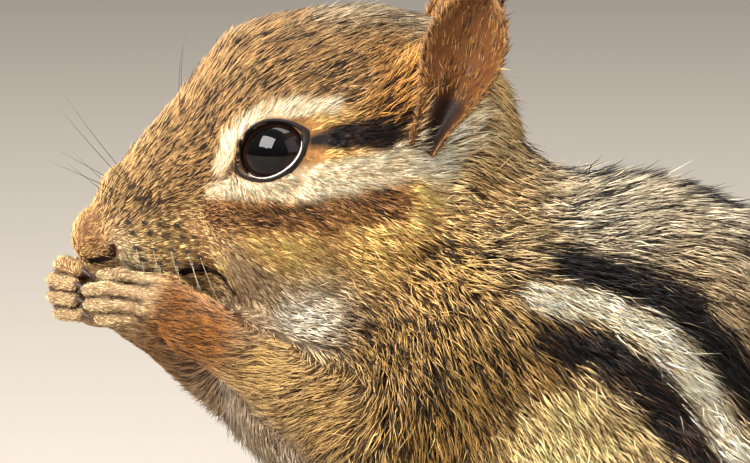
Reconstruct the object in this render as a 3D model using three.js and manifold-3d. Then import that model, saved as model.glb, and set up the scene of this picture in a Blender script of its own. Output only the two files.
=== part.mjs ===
// An eastern chipmunk at life size, sitting hunched on its haunches with both hands at its mouth.
// Lengths are millimetres. The animal faces -X, its left side faces -Y, and it sits on the plane z = 0.
// The outer surfaces are those of the coat. Soft forms are blended distance functions, meshed on a grid.
import * as THREE from "three";
import { mergeVertices } from "three/addons/utils/BufferGeometryUtils.js";
import Module from "manifold-3d";

const wasm = await Module();
wasm.setup();

// Driving dimensions
const GAP = 0.3; // between neighbouring sub-parts
const SIDES = { left: -1, right: 1 }; // sign of y

const NECK_CUT = { through: [47.5, 0, 59.5], towardsHead: [-0.67, 0, 0.742] };
const NECK_LENGTH = 8;

const EYE_RADIUS = 3.7;
const EYE_CENTRE = [27.8, 8.3, 57.7]; // y is the distance from the middle plane
const GAZE = [-0.3, 0.93, 0.2];
const LID_THICKNESS = 0.6;
const LID_OPENING = { halfLength: 3.25, halfHeight: 2.7, tilt: 27 };

const EAR = {
  base: [42.2, 12.3, 58.3],
  tip: [48.6, 15.4, 73.5],
  facing: [-0.35, 0.92, 0.12],
  halfWidth: 4.0,
  widestAt: 0.66,
  rootWidth: 0.34, // share of the half width
  cupDepth: 3.0,
  thickness: 0.8,
};
const EAR_CANAL = { top: [43.2, 12.9, 64.2], bottom: [41.9, 12.1, 59.2], radii: [1.2, 0.7] };

const NOSTRIL = { x: 11.4, z: 47.5, radii: [1.0, 0.9, 0.6], pitch: 50 };
const MOUTH_LINE = [
  [9.4, 46.0],
  [13.5, 45.9],
  [17.0, 45.1],
  [20.6, 43.6],
]; // x and z of the lip's edge, from under the nose to the corner
const MOUTH_WIDTH = 0.75;

const SHOULDER = [50, 10.5, 41];
const ELBOW = [38, 12, 30];
const FAR_ELBOW = [34, 12, 24.5];
const WRIST = [19.5, 7.5, 40.3];
const FAR_WRIST = [14.5, 7.8, 39.4];

const HIP = [68, 11.5, 20];
const KNEE = [48.5, 16, 13.5];
const HEEL = [70.5, 13.5, 3.0];
const BALL = [47.5, 15.5, 2.2]; // where the hind toes begin
const HIND_TOE_LENGTH = 8.5;

const TAIL_LINE = [
  [84, 0, 7.5],
  [92, 0.4, 4.0],
  [108, 2.5, 3.1],
  [128, 4.6, 3.0],
  [150, 2.6, 2.9],
  [168, -3.0, 2.7],
  [180, -9.0, 2.4],
];
const TAIL_CUTS = [0.36, 0.68]; // shares of the tail's length where its sub-parts meet
const TAIL_HALF_WIDTH = 4.6;
const TAIL_HALF_HEIGHT = 2.9;

const DEG = Math.PI / 180;
const vec = (p) => new THREE.Vector3(...p);
const onSide = (side, [x, y, z]) => [x, side * y, z];
const between = (a, b, t) => a + (b - a) * t;

// Distance functions, negative inside

// pitch lifts the ellipsoid's +x end
function ellipsoid([cx, cy, cz], [rx, ry, rz], pitch = 0) {
  const c = Math.cos(pitch * DEG);
  const s = Math.sin(pitch * DEG);
  return (x, y, z) => {
    const u = (x - cx) * c + (z - cz) * s;
    const v = y - cy;
    const w = (z - cz) * c - (x - cx) * s;
    const scaled = Math.hypot(u / rx, v / ry, w / rz);
    const steep = Math.hypot(u / rx ** 2, v / ry ** 2, w / rz ** 2);
    return steep > 1e-9 ? (scaled * (scaled - 1)) / steep : -Math.min(rx, ry, rz);
  };
}

// A rod with round ends whose radius runs from ra to rb, with its section widened in y
function rod(a, ra, b, rb, widened = 1) {
  const d = [b[0] - a[0], b[1] - a[1], b[2] - a[2]];
  const square = d[0] ** 2 + d[1] ** 2 + d[2] ** 2;
  return (x, y, z) => {
    const along = ((x - a[0]) * d[0] + (y - a[1]) * d[1] + (z - a[2]) * d[2]) / square;
    const t = Math.min(1, Math.max(0, along));
    const away = Math.hypot(x - a[0] - t * d[0], (y - a[1] - t * d[1]) / widened, z - a[2] - t * d[2]);
    return away - between(ra, rb, t);
  };
}

// The union of forms, each [form, blend], where blend is how far a form melts into those before it
function melted(...forms) {
  return (x, y, z) => {
    let near = 1e3;
    for (const [form, blend] of forms) {
      const d = form(x, y, z);
      const overlap = Math.max(blend - Math.abs(near - d), 0) / blend;
      near = Math.min(near, d) - (overlap * overlap * blend) / 4;
    }
    return near;
  };
}

const inPair = (centre, radii, pitch, blend) =>
  Object.values(SIDES).map((side) => [ellipsoid(onSide(side, centre), radii, pitch), blend]);

// Head, neck and torso in one flow
const trunk = melted(
  [ellipsoid([35.6, 0, 59.8], [16.0, 11.2, 12.6]), 1], // cranium
  [rod([27.5, 0, 60.4], 10.0, [13.8, 0, 51.9], 4.7), 3], // brow to bridge of the nose
  [ellipsoid([9.9, 0, 48.5], [3.2, 2.8, 3.4]), 1.6], // nose
  ...inPair([16.2, 3.1, 47.9], [6.3, 3.3, 3.6], -14, 1.8), // whisker pads
  [rod([13.4, 0, 44.7], 2.3, [25, 0, 45.9], 5.2), 1.2], // lower jaw
  ...inPair([29.5, 6.0, 50.4], [9.0, 6.4, 8.2], 0, 4), // cheeks
  ...inPair([27.5, 7.0, 61.2], [5.5, 2.8, 3.0], 10, 3), // brows
  ...inPair([39.5, 4.5, 50.0], [11, 9.5, 11.5], 0, 5), // jowls
  ...inPair([40.4, 9.4, 62.8], [6.0, 3.2, 3.6], 65, 2.5), // roots of the ears
  [rod([40, 0, 55.5], 10.6, [48.6, 0, 43.6], 12.4), 4], // nape
  [rod([34.5, 0, 35.5], 12.8, [45.5, 0, 24], 16.2), 5], // breast
  [rod([49, 0, 42], 14.5, [61, 0, 34], 21.2, 0.86), 5], // shoulders to ribs
  [rod([61, 0, 34], 21.2, [66.5, 0, 23.5], 21.6, 0.95), 4], // loin
  [ellipsoid([71, 0, 15], [15, 15, 15.3]), 6], // rump
);

// Forelegs and hind legs, one function for each side
const elbowOf = (side) => onSide(side, side === SIDES.left ? ELBOW : FAR_ELBOW);

function foreleg(side) {
  const wrist = side === SIDES.left ? WRIST : FAR_WRIST;
  return melted(
    [rod(onSide(side, SHOULDER), 9.5, elbowOf(side), 6.0), 1],
    [rod(elbowOf(side), 5.8, onSide(side, wrist), 3.1), 2],
  );
}

function hindLeg(side) {
  return melted(
    [rod(onSide(side, HIP), 13.2, onSide(side, KNEE), 7.6, 0.9), 1],
    [rod(onSide(side, KNEE), 6.4, onSide(side, [66, 14, 6]), 4.4), 3],
  );
}

// Meshing

function ticks(from, to, step, fine = null) {
  const made = [from];
  while (made.at(-1) < to) {
    const at = made.at(-1);
    made.push(at + (fine && at >= fine.from && at < fine.to ? fine.step : step));
  }
  return made;
}

// Surface nets: one vertex in each cell that the surface crosses, moved onto the surface.
// A form that runs on past the grid is closed off a little inside it.
function meshed(open, [xs, ys, zs]) {
  const [nx, ny, nz] = [xs.length, ys.length, zs.length];
  const middles = [xs, ys, zs].map((axis) => (axis[0] + axis.at(-1)) / 2);
  const halves = [xs, ys, zs].map((axis) => (axis.at(-1) - axis[0]) / 2 - 1.4 * (axis[1] - axis[0]));
  const form = (x, y, z) =>
    Math.max(open(x, y, z), ...[x, y, z].map((value, d) => Math.abs(value - middles[d]) - halves[d]));
  const at = (i, j, k) => (i * ny + j) * nz + k;
  const values = new Float64Array(nx * ny * nz);
  for (let i = 0; i < nx; i++)
    for (let j = 0; j < ny; j++)
      for (let k = 0; k < nz; k++) values[at(i, j, k)] = form(xs[i], ys[j], zs[k]) || 1e-6;

  const vertices = [];
  const cellVertex = new Map();
  const corners = [0, 1, 2, 3, 4, 5, 6, 7].map((n) => [n & 1, (n >> 1) & 1, n >> 2]);
  const edges = corners.flatMap((a, m) =>
    corners.map((b, n) => [m, n]).filter(([p, q]) => q > p && [1, 2, 4].includes(p ^ q)),
  );
  for (let i = 0; i + 1 < nx; i++)
    for (let j = 0; j + 1 < ny; j++)
      for (let k = 0; k + 1 < nz; k++) {
        const v = corners.map(([a, b, c]) => values[at(i + a, j + b, k + c)]);
        const crossed = edges.filter(([m, n]) => v[m] < 0 !== v[n] < 0);
        if (!crossed.length) continue;
        const sum = [0, 0, 0];
        for (const [m, n] of crossed) {
          const t = v[m] / (v[m] - v[n]);
          [xs, ys, zs].forEach((axis, d) => {
            const start = [i, j, k][d];
            sum[d] += between(axis[start + corners[m][d]], axis[start + corners[n][d]], t);
          });
        }
        cellVertex.set(at(i, j, k), vertices.length);
        vertices.push(ontoSurface(form, sum.map((total) => total / crossed.length)));
      }

  const triangles = [];
  const addQuad = (cells, flipped) => {
    const q = cells.map((cell) => cellVertex.get(cell));
    if (flipped) q.reverse();
    const far = (m, n) => Math.hypot(...vertices[q[m]].map((value, d) => value - vertices[q[n]][d]));
    if (far(0, 2) < far(1, 3)) triangles.push(q[0], q[1], q[2], q[0], q[2], q[3]);
    else triangles.push(q[1], q[2], q[3], q[1], q[3], q[0]);
  };
  for (let i = 1; i + 1 < nx; i++)
    for (let j = 1; j + 1 < ny; j++)
      for (let k = 1; k + 1 < nz; k++) {
        const inside = values[at(i, j, k)] < 0;
        if (inside !== values[at(i + 1, j, k)] < 0)
          addQuad([at(i, j - 1, k - 1), at(i, j, k - 1), at(i, j, k), at(i, j - 1, k)], !inside);
        if (inside !== values[at(i, j + 1, k)] < 0)
          addQuad([at(i - 1, j, k - 1), at(i - 1, j, k), at(i, j, k), at(i, j, k - 1)], !inside);
        if (inside !== values[at(i, j, k + 1)] < 0)
          addQuad([at(i - 1, j - 1, k), at(i, j - 1, k), at(i, j, k), at(i - 1, j, k)], !inside);
      }
  return new wasm.Manifold(
    new wasm.Mesh({
      numProp: 3,
      vertProperties: new Float32Array(vertices.flat()),
      triVerts: new Uint32Array(triangles),
    }),
  );
}

function slope(form, [x, y, z], reach = 0.05) {
  return [
    form(x + reach, y, z) - form(x - reach, y, z),
    form(x, y + reach, z) - form(x, y - reach, z),
    form(x, y, z + reach) - form(x, y, z - reach),
  ].map((rise) => rise / (2 * reach));
}

function ontoSurface(form, start, rounds = 3) {
  let p = start;
  for (let n = 0; n < rounds; n++) {
    const g = slope(form, p);
    const move = form(...p) / Math.max(0.2, g[0] ** 2 + g[1] ** 2 + g[2] ** 2);
    p = p.map((value, d) => value - g[d] * Math.max(-0.6, Math.min(0.6, move)));
  }
  return p;
}

// The distance from the middle plane to the outermost surface at x and z
function halfWidthAt(form, x, z, most = 30) {
  let [low, high] = [0, most];
  for (let y = most; y > 0; y -= 0.25)
    if (form(x, y, z) < 0) {
      [low, high] = [y, y + 0.25];
      break;
    }
  for (let n = 0; n < 12; n++) {
    const middle = (low + high) / 2;
    if (form(x, middle, z) < 0) low = middle;
    else high = middle;
  }
  return low;
}

// Solids

function solid(geometry) {
  const bare = geometry.clone();
  bare.deleteAttribute("normal");
  bare.deleteAttribute("uv");
  const merged = mergeVertices(bare, 1e-4);
  return new wasm.Manifold(
    new wasm.Mesh({
      numProp: 3,
      vertProperties: merged.attributes.position.array,
      triVerts: new Uint32Array(merged.index.array),
    }),
  );
}

const largest = (made) =>
  made.decompose().reduce((best, piece) => (piece.volume() > best.volume() ? piece : best));

// Keeps what lies on the side of the plane that its normal points to
function keep(made, through, normal, shift = 0) {
  const n = vec(normal).normalize();
  return made.trimByPlane(n.toArray(), n.dot(vec(through)) + shift);
}

const aboveFloor = (made) => keep(made, [0, 0, 0], [0, 0, 1]);

// A closed skin over rings of points, with a fan over each end
function skinned(rings) {
  const sides = rings[0].length;
  const middle = (ring) => ring.reduce((sum, p) => sum.add(p), new THREE.Vector3()).divideScalar(sides);
  const points = [...rings.flat(), middle(rings[0]), middle(rings.at(-1))];
  const [firstEnd, lastEnd] = [points.length - 2, points.length - 1];
  const faces = [];
  const last = (rings.length - 1) * sides;
  for (let s = 0; s < sides; s++) {
    const next = (s + 1) % sides;
    for (let r = 0; r < last; r += sides)
      faces.push(r + s, r + next, r + sides + s, r + next, r + sides + next, r + sides + s);
    faces.push(firstEnd, next, s, lastEnd, last + s, last + next);
  }
  const geometry = new THREE.BufferGeometry().setFromPoints(points);
  geometry.setIndex(faces);
  return geometry;
}

// A limb of elliptical section along a curve. sizes gives [half width, half height] at a share of the length.
function limb(line, sizes, { rings = 6, sides = 8, up = [0, 0, 1] } = {}) {
  const curve = new THREE.CatmullRomCurve3(line.map(vec));
  const made = [];
  for (let r = 0; r <= rings; r++) {
    const t = r / rings;
    const tangent = curve.getTangent(t);
    const across = new THREE.Vector3().crossVectors(vec(up), tangent).normalize();
    const rise = new THREE.Vector3().crossVectors(tangent, across);
    const [wide, high] = sizes(t);
    made.push(
      Array.from({ length: sides }, (_, s) => {
        const turn = (2 * Math.PI * s) / sides;
        return curve
          .getPoint(t)
          .addScaledVector(across, wide * Math.cos(turn))
          .addScaledVector(rise, high * Math.sin(turn));
      }),
    );
  }
  return skinned(made);
}

// A toe or finger, swollen at its ball and rounded at its end
const digitSizes = (radius, grown) => (t) => {
  const end = Math.sqrt(Math.max(0.06, 1 - Math.max(0, (t - 0.78) / 0.22) ** 2));
  const swell = 1 + 0.12 * Math.sin(Math.PI * Math.min(1, t / 0.9)) - 0.12 * t;
  return [radius * swell * end + grown, radius * swell * end + grown];
};

const digit = (line, radius, grown = 0) =>
  solid(limb(line, digitSizes(radius, grown), { rings: 4, sides: 6 }));

const claw = (line, radius) =>
  solid(limb(line, (t) => [radius * (1 - 0.93 * t), radius * 1.25 * (1 - 0.93 * t)], { rings: 2, sides: 4 }));

// Head

const HEAD_TICKS = [
  ticks(2, 66, 3.4, { from: 5, to: 31, step: 1.7 }),
  ticks(-21, 21, 2.0),
  ticks(26, 82, 3.4, { from: 43, to: 65, step: 1.7 }),
];
const [CUT_POINT, CUT_NORMAL] = [NECK_CUT.through, NECK_CUT.towardsHead];

const eyeball = (side, radius) =>
  solid(new THREE.SphereGeometry(radius, 16, 8).translate(...onSide(side, EYE_CENTRE)));

// A prism along the gaze whose section is the opening between the lids
function lidOpening(side) {
  const shape = new THREE.Shape();
  shape.absellipse(0, 0, LID_OPENING.halfLength, LID_OPENING.halfHeight, 0, 2 * Math.PI);
  const prism = new THREE.ExtrudeGeometry(shape, { depth: 8, bevelEnabled: false, curveSegments: 12 });
  const z = vec(onSide(side, GAZE)).normalize();
  const x = new THREE.Vector3(-Math.cos(LID_OPENING.tilt * DEG), 0, -Math.sin(LID_OPENING.tilt * DEG));
  x.addScaledVector(z, -x.dot(z)).normalize();
  const y = new THREE.Vector3().crossVectors(z, x);
  prism.applyMatrix4(new THREE.Matrix4().makeBasis(x, y, z));
  return solid(prism.translate(...onSide(side, EYE_CENTRE)));
}

function mouthGroove() {
  const corner = MOUTH_LINE.map(([x, z]) => [x, halfWidthAt(trunk, x, z), z]);
  const line = [...corner.map((p) => onSide(SIDES.left, p)).reverse(), ...corner.map((p) => onSide(SIDES.right, p))];
  return solid(
    limb(line, () => [MOUTH_WIDTH / 2, MOUTH_WIDTH / 2], { rings: 24, sides: 6, up: [0.2, 0, 1] }),
  );
}

function nostril(side) {
  const geometry = new THREE.SphereGeometry(1, 10, 8).scale(...NOSTRIL.radii);
  geometry.rotateY(-NOSTRIL.pitch * DEG);
  const y = side * halfWidthAt(trunk, NOSTRIL.x, NOSTRIL.z);
  return solid(geometry.translate(NOSTRIL.x, y, NOSTRIL.z));
}

const lidForms = Object.values(SIDES).map((side) => [
  rod(onSide(side, EYE_CENTRE), EYE_RADIUS + GAP + LID_THICKNESS, onSide(side, [28.8, 8.2, 58.1]), EYE_RADIUS),
  1.2,
]);
const headForm = melted([trunk, 1], ...lidForms);

function makeHead() {
  let made = keep(meshed(headForm, HEAD_TICKS), CUT_POINT, CUT_NORMAL, GAP / 2);
  for (const side of Object.values(SIDES)) {
    made = made.subtract(lidOpening(side)).subtract(eyeball(side, EYE_RADIUS + GAP));
    made = made.subtract(nostril(side)).subtract(earCanal(side));
  }
  return largest(made.subtract(mouthGroove()));
}

// The slit that runs down from the cup of the ear
function earCanal(side) {
  const [top, bottom] = [EAR_CANAL.top, EAR_CANAL.bottom].map((p) => onSide(side, p));
  const sizes = (t) => Array(2).fill(between(...EAR_CANAL.radii, t));
  return solid(limb([top, bottom], sizes, { rings: 4, sides: 8, up: [0, 1, 0] }));
}

const headGrown = meshed((x, y, z) => headForm(x, y, z) - GAP, HEAD_TICKS);

// Ears: a cupped leaf, narrow at its root and round at its tip
function makeEar(side) {
  const [base, tip] = [vec(onSide(side, EAR.base)), vec(onSide(side, EAR.tip))];
  const along = tip.clone().sub(base);
  const facing = vec(onSide(side, EAR.facing));
  facing.addScaledVector(along, -facing.dot(along) / along.lengthSq()).normalize();
  const across = new THREE.Vector3().crossVectors(along, facing).normalize();
  const [rows, columns] = [10, 9];
  const halfWidth = (t) => {
    if (t > EAR.widestAt) {
      const up = (t - EAR.widestAt) / (1 - EAR.widestAt);
      return EAR.halfWidth * Math.sqrt(1 - (0.985 * up) ** 2);
    }
    const ease = THREE.MathUtils.smoothstep(t / EAR.widestAt, 0, 1);
    return EAR.halfWidth * between(EAR.rootWidth, 1, ease);
  };
  const place = (t, s, back) => {
    const cup = EAR.cupDepth * Math.sin(Math.PI * between(0.2, 0.86, t)) * (1 - s * s);
    return base
      .clone()
      .addScaledVector(along, t)
      .addScaledVector(across, s * halfWidth(t))
      .addScaledVector(facing, -cup - back * EAR.thickness * between(1, 0.75, s * s));
  };
  const rings = [];
  for (let r = 0; r <= rows; r++) {
    const t = 1 - (1 - r / rows) ** 1.25;
    const shares = Array.from({ length: columns + 1 }, (_, c) => (2 * c) / columns - 1);
    const front = shares.map((s) => place(t, s, 0));
    const back = shares.map((s) => place(t, s, 1)).reverse();
    rings.push(side === SIDES.left ? [...front, ...back] : [...front, ...back].reverse());
  }
  return largest(facingOut(skinned(rings)).subtract(headGrown));
}

// Turns a closed geometry's faces round if they point in
function facingOut(geometry) {
  const made = solid(geometry);
  if (made.volume() > 0) return made;
  const index = geometry.index.array;
  for (let i = 0; i < index.length; i += 3) [index[i + 1], index[i + 2]] = [index[i + 2], index[i + 1]];
  return solid(geometry);
}

// Hands. Each finger is [knuckle, middle, tip], with y from the middle plane on its own side.
const NEAR_FINGERS = [
  [[15.4, -6.0, 44.8], [11.9, -5.9, 45.3], [10.2, -3.7, 45.0]],
  [[15.0, -6.3, 43.4], [10.4, -6.1, 43.9], [8.6, -3.7, 43.5]],
  [[15.0, -6.3, 41.9], [10.5, -6.1, 42.3], [8.8, -3.7, 42.0]],
  [[15.2, -6.0, 40.5], [11.4, -5.9, 40.8], [9.9, -3.9, 40.6]],
];
const FAR_FINGERS = [
  [[8.4, 4.3, 45.0], [5.9, 3.1, 45.3], [7.6, 1.3, 44.9]],
  [[7.8, 4.4, 43.5], [5.2, 3.0, 43.7], [7.0, 1.0, 43.5]],
  [[7.8, 4.4, 42.0], [5.2, 3.0, 42.1], [7.0, 1.0, 42.0]],
  [[8.3, 4.3, 40.5], [5.8, 3.1, 40.5], [7.6, 1.2, 40.4]],
];
const FINGER_RADIUS = { [SIDES.left]: 0.9, [SIDES.right]: 1.05 };

const PALM_STEP = 1.6;

function handForms(side) {
  if (side === SIDES.left)
    return melted(
      [ellipsoid([16.4, -6.4, 42.3], [3.3, 2.0, 3.4], -15), 1],
      [rod([19.6, -7.5, 40.2], 3.0, [17.4, -6.6, 41.6], 2.4), 2],
    );
  return melted(
    [ellipsoid([8.9, 4.9, 42.4], [2.9, 2.3, 3.6], 0), 1],
    [rod([14.5, 7.8, 39.5], 3.0, [10.5, 5.8, 41.0], 2.4), 2],
  );
}

function makeHand(side) {
  const wrist = side === SIDES.left ? WRIST : FAR_WRIST;
  const fingers = side === SIDES.left ? NEAR_FINGERS : FAR_FINGERS;
  const lowest = wrist.map((value, d) => value - [14, 8, 8][d]);
  const palm = meshed(handForms(side), [
    ticks(lowest[0], wrist[0] + 7, PALM_STEP),
    side === SIDES.left ? ticks(-14, 2, PALM_STEP) : ticks(-2, 14, PALM_STEP),
    ticks(lowest[2], wrist[2] + 10, PALM_STEP),
  ]);
  const whole = fingers.reduce((made, line) => made.add(digit(line, FINGER_RADIUS[side])), palm);
  const [through, normal] = wristCut(side);
  return largest(keep(whole, through, normal, GAP / 2).subtract(headGrown));
}

function wristCut(side) {
  const wrist = onSide(side, side === SIDES.left ? WRIST : FAR_WRIST);
  return [wrist, vec(wrist).sub(vec(elbowOf(side))).toArray()];
}

function elbowCut(side) {
  const elbow = vec(elbowOf(side));
  const toWrist = vec(wristCut(side)[0]).sub(elbow).normalize();
  const toShoulder = vec(onSide(side, SHOULDER)).sub(elbow).normalize();
  return [elbow.toArray(), toWrist.sub(toShoulder).toArray()];
}

// Torso and neck, from one mesh of the trunk
const TRUNK_TICKS = [ticks(14, 96, 3.8), ticks(-28.5, 28.5, 3.8), ticks(-8, 76, 3.8)];
const trunkMesh = aboveFloor(meshed(trunk, TRUNK_TICKS));
const trunkGrown = meshed((x, y, z) => trunk(x, y, z) - GAP, TRUNK_TICKS);
const awayFromHead = CUT_NORMAL.map((n) => -n);
const behindHead = keep(trunkMesh, CUT_POINT, awayFromHead, GAP / 2);

const makeTorso = () => largest(keep(behindHead, CUT_POINT, awayFromHead, NECK_LENGTH + GAP));
const makeNeck = () => largest(keep(behindHead, CUT_POINT, CUT_NORMAL, -NECK_LENGTH));

// Limbs
const limbTicks = (side, from, to, step) => {
  const ys = side === SIDES.left ? [-to[1], -from[1]] : [from[1], to[1]];
  return [ticks(from[0], to[0], step), ticks(ys[0], ys[1], step), ticks(from[2], to[2], step)];
};

function foreLimb(side) {
  return meshed(foreleg(side), limbTicks(side, [8, -6, 16], [66, 28, 58], 3.2)).subtract(trunkGrown);
}

function makeUpperArm(side) {
  const [through, normal] = elbowCut(side);
  return largest(keep(foreLimb(side), through, normal.map((n) => -n), GAP / 2));
}

function makeForearm(side) {
  const [elbow, towardsWrist] = elbowCut(side);
  const [wrist, towardsHand] = wristCut(side);
  const beyondElbow = keep(foreLimb(side), elbow, towardsWrist, GAP / 2);
  const made = keep(beyondElbow, wrist, towardsHand.map((n) => -n), GAP / 2);
  return largest(made.subtract(headGrown));
}

const hindForm = (side) => meshed(hindLeg(side), limbTicks(side, [32, -6, -7], [92, 32, 42], 3.6));
const kneeCut = (side) => [onSide(side, [50, 15, 12]), [0.42, 0, 0.9]];

function makeThigh(side) {
  const [through, up] = kneeCut(side);
  const above = keep(hindForm(side), through, up, GAP / 2);
  return largest(aboveFloor(above.subtract(trunkGrown).subtract(footGrown[side])));
}

function makeShank(side) {
  const [through, up] = kneeCut(side);
  const below = keep(hindForm(side), through, up.map((n) => -n), GAP / 2);
  return largest(aboveFloor(below.subtract(trunkGrown).subtract(footGrown[side])));
}

// Hind feet, flat where they stand
const TOES = [-2, -1, 0, 1, 2].map((place) => ({
  place,
  length: HIND_TOE_LENGTH * (1 - 0.1 * place ** 2),
}));

function toeLine(side, { place, length }) {
  const [x, y, z] = onSide(side, BALL);
  const spread = side * place;
  return [
    [x + 2, y + 1.1 * spread, z],
    [x - length * 0.4, y + 1.75 * spread, z + 0.4],
    [x - length, y + 2.3 * spread, 1.25],
  ];
}

function footForm(side) {
  return melted(
    [rod(onSide(side, HEEL), 3.1, onSide(side, [57, 14.8, 2.6]), 2.9, 1.15), 1],
    [rod(onSide(side, [57, 14.8, 2.6]), 2.9, onSide(side, BALL), 2.3, 1.6), 2],
  );
}

const footTicks = (side) => limbTicks(side, [38, 5, -5], [80, 25, 12], 2.6);
const footGrown = Object.fromEntries(
  Object.values(SIDES).map((side) => [
    side,
    meshed((x, y, z) => footForm(side)(x, y, z) - GAP, footTicks(side)),
  ]),
);

function makeFoot(side) {
  const sole = meshed(footForm(side), footTicks(side));
  const whole = TOES.reduce((made, toe) => made.add(digit(toeLine(side, toe), 1.15)), sole);
  return largest(aboveFloor(whole).subtract(trunkGrown));
}

// A claw past the end of a digit's line
function makeClaw(line, length, radius, droop) {
  const [middle, tip] = line.slice(-2).map(vec);
  const ahead = tip.clone().sub(middle).normalize();
  const from = tip.clone().addScaledVector(ahead, GAP);
  const to = from.clone().addScaledVector(ahead, length);
  const half = from.clone().lerp(to, 0.5);
  half.z += droop * 0.4;
  to.z -= droop * 0.6;
  return claw([from, half, to].map((p) => p.toArray()), radius);
}

// Tail: a core and its long hair in flat, tapered locks
const tailCurve = new THREE.CatmullRomCurve3(TAIL_LINE.map(vec));
const LOCKS = { rowsEach: 4, turns: [-4, 58, 122, 184], length: 13, lean: 27 };
const LOCK_HALF_WIDTH = 2.5;
const LOCK_HALF_THICKNESS = 0.45;
const LOCK_REACH = 12; // how far along the tail a lock reaches
const TAIL_BARE = 0.04; // share of the tail before the first locks
const TAIL_LAST_ROOT = 0.97;
const TAIL_LENGTH = tailCurve.getLength();
let seed = 7;
const random = () => {
  seed = (seed * 16807) % 2147483647;
  return seed / 2147483647;
};
const vary = (share) => 1 + share * (2 * random() - 1);

const tailSizes = (t) => {
  const taper = Math.sqrt(Math.max(0.02, 1 - t ** 3)) * between(0.86, 1, Math.min(1, 4 * t));
  return [TAIL_HALF_WIDTH * taper, TAIL_HALF_HEIGHT * taper];
};

function tailFrame(t) {
  const along = tailCurve.getTangent(t);
  const aside = new THREE.Vector3().crossVectors(new THREE.Vector3(0, 0, 1), along).normalize();
  return { at: tailCurve.getPoint(t), along, aside, up: new THREE.Vector3().crossVectors(along, aside) };
}

// turn is 0 at one flank of the tail, 90 on top and 180 at the other flank
function lock(t, turn) {
  const { at, along, aside, up } = tailFrame(t);
  const [c, s] = [Math.cos(turn * DEG), Math.sin(turn * DEG)];
  const [wide, high] = tailSizes(t);
  const out = aside.clone().multiplyScalar(c).addScaledVector(up, Math.max(0, s)).normalize();
  const lean = LOCKS.lean * (1 - 0.45 * Math.max(0, s)) * vary(0.2);
  const length = LOCKS.length * vary(0.14) * between(1, 0.8, t);
  const root = at.clone().addScaledVector(aside, 0.6 * wide * c).addScaledVector(up, 0.55 * high * s);
  const line = [0, 0.5, 1].map((share) => {
    const reach = length * share;
    const rise = Math.sin(lean * DEG) * reach * (1.3 - 0.3 * share);
    const p = root.clone().addScaledVector(along, Math.cos(lean * DEG) * reach);
    p.addScaledVector(out, rise);
    p.z = Math.max(p.z, 1.0);
    return p.toArray();
  });
  const halfWidth = LOCK_HALF_WIDTH * vary(0.15);
  const sizes = (share) => {
    const full = share < 0.4 ? between(0.7, 1, share / 0.4) : Math.max(0.05, 1 - ((share - 0.4) / 0.6) ** 1.7);
    return [halfWidth * full, LOCK_HALF_THICKNESS * Math.max(0.35, full)];
  };
  const flatSide = up.clone().addScaledVector(aside, 0.5 * c);
  return solid(limb(line, sizes, { rings: 2, sides: 4, up: flatSide.toArray() }));
}

// One length of the tail, with the locks that are rooted in it
function makeTailLength(from, to) {
  const [start, end] = [tailFrame(from), tailFrame(to)];
  const core = solid(limb(TAIL_LINE, tailSizes, { rings: 16, sides: 8 }));
  const first = Math.max(from + 0.01, TAIL_BARE);
  const last = to < 1 ? to - LOCK_REACH / TAIL_LENGTH : TAIL_LAST_ROOT;
  const locks = [];
  for (let row = 0; row < LOCKS.rowsEach; row++)
    for (const [n, turn] of LOCKS.turns.entries()) {
      const t = between(first, last, (row + (n % 2 ? 0.4 : 0)) / (LOCKS.rowsEach - 0.6));
      locks.push(lock(t, turn + 8 * (2 * random() - 1)));
    }
  let made = from > 0 ? keep(core, start.at.toArray(), start.along.toArray(), GAP / 2) : core;
  if (to < 1) made = keep(made, end.at.toArray(), end.along.clone().negate().toArray(), GAP / 2);
  made = locks.reduce((whole, piece) => whole.add(piece), made);
  return largest(aboveFloor(made).subtract(trunkGrown));
}

// Finish: colour, roughness
const FINISHES = {
  fur: [0x9a7446, 0.9],
  paleFur: [0xcbb595, 0.9],
  eye: [0x0a0807, 0.08],
  ear: [0x8d6142, 0.8],
  claw: [0x3a2b20, 0.45],
};

const group = new THREE.Group();

function addMesh(name, finish, made) {
  const { numProp, vertProperties, triVerts } = made.getMesh();
  const positions = new Float32Array((vertProperties.length / numProp) * 3);
  for (let v = 0; v * numProp < vertProperties.length; v++)
    positions.set(vertProperties.subarray(v * numProp, v * numProp + 3), v * 3);
  const geometry = new THREE.BufferGeometry();
  geometry.setAttribute("position", new THREE.BufferAttribute(positions, 3));
  geometry.setIndex(new THREE.BufferAttribute(new Uint32Array(triVerts), 1));
  geometry.computeVertexNormals();
  const [color, roughness] = FINISHES[finish];
  const mesh = new THREE.Mesh(geometry, new THREE.MeshStandardMaterial({ color, roughness, metalness: 0 }));
  mesh.name = name;
  group.add(mesh);
}

addMesh("head", "fur", makeHead());
addMesh("neck", "fur", makeNeck());
addMesh("torso", "fur", makeTorso());
for (const [name, side] of Object.entries(SIDES)) {
  addMesh(`eye_${name}`, "eye", eyeball(side, EYE_RADIUS));
  addMesh(`ear_${name}`, "ear", makeEar(side));
  addMesh(`upper_arm_${name}`, "fur", makeUpperArm(side));
  addMesh(`forearm_${name}`, "fur", makeForearm(side));
  addMesh(`hand_${name}`, "paleFur", makeHand(side));
  addMesh(`thigh_${name}`, "fur", makeThigh(side));
  addMesh(`shank_${name}`, "fur", makeShank(side));
  addMesh(`hind_foot_${name}`, "paleFur", makeFoot(side));
  const fingers = side === SIDES.left ? NEAR_FINGERS : FAR_FINGERS;
  fingers.forEach((line, n) => addMesh(`claw_hand_${name}_${n + 1}`, "claw", makeClaw(line, 1.7, 0.42, 0.5)));
  TOES.forEach((toe, n) =>
    addMesh(`claw_foot_${name}_${n + 1}`, "claw", makeClaw(toeLine(side, toe), 2.2, 0.5, 0.3)),
  );
}
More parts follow.
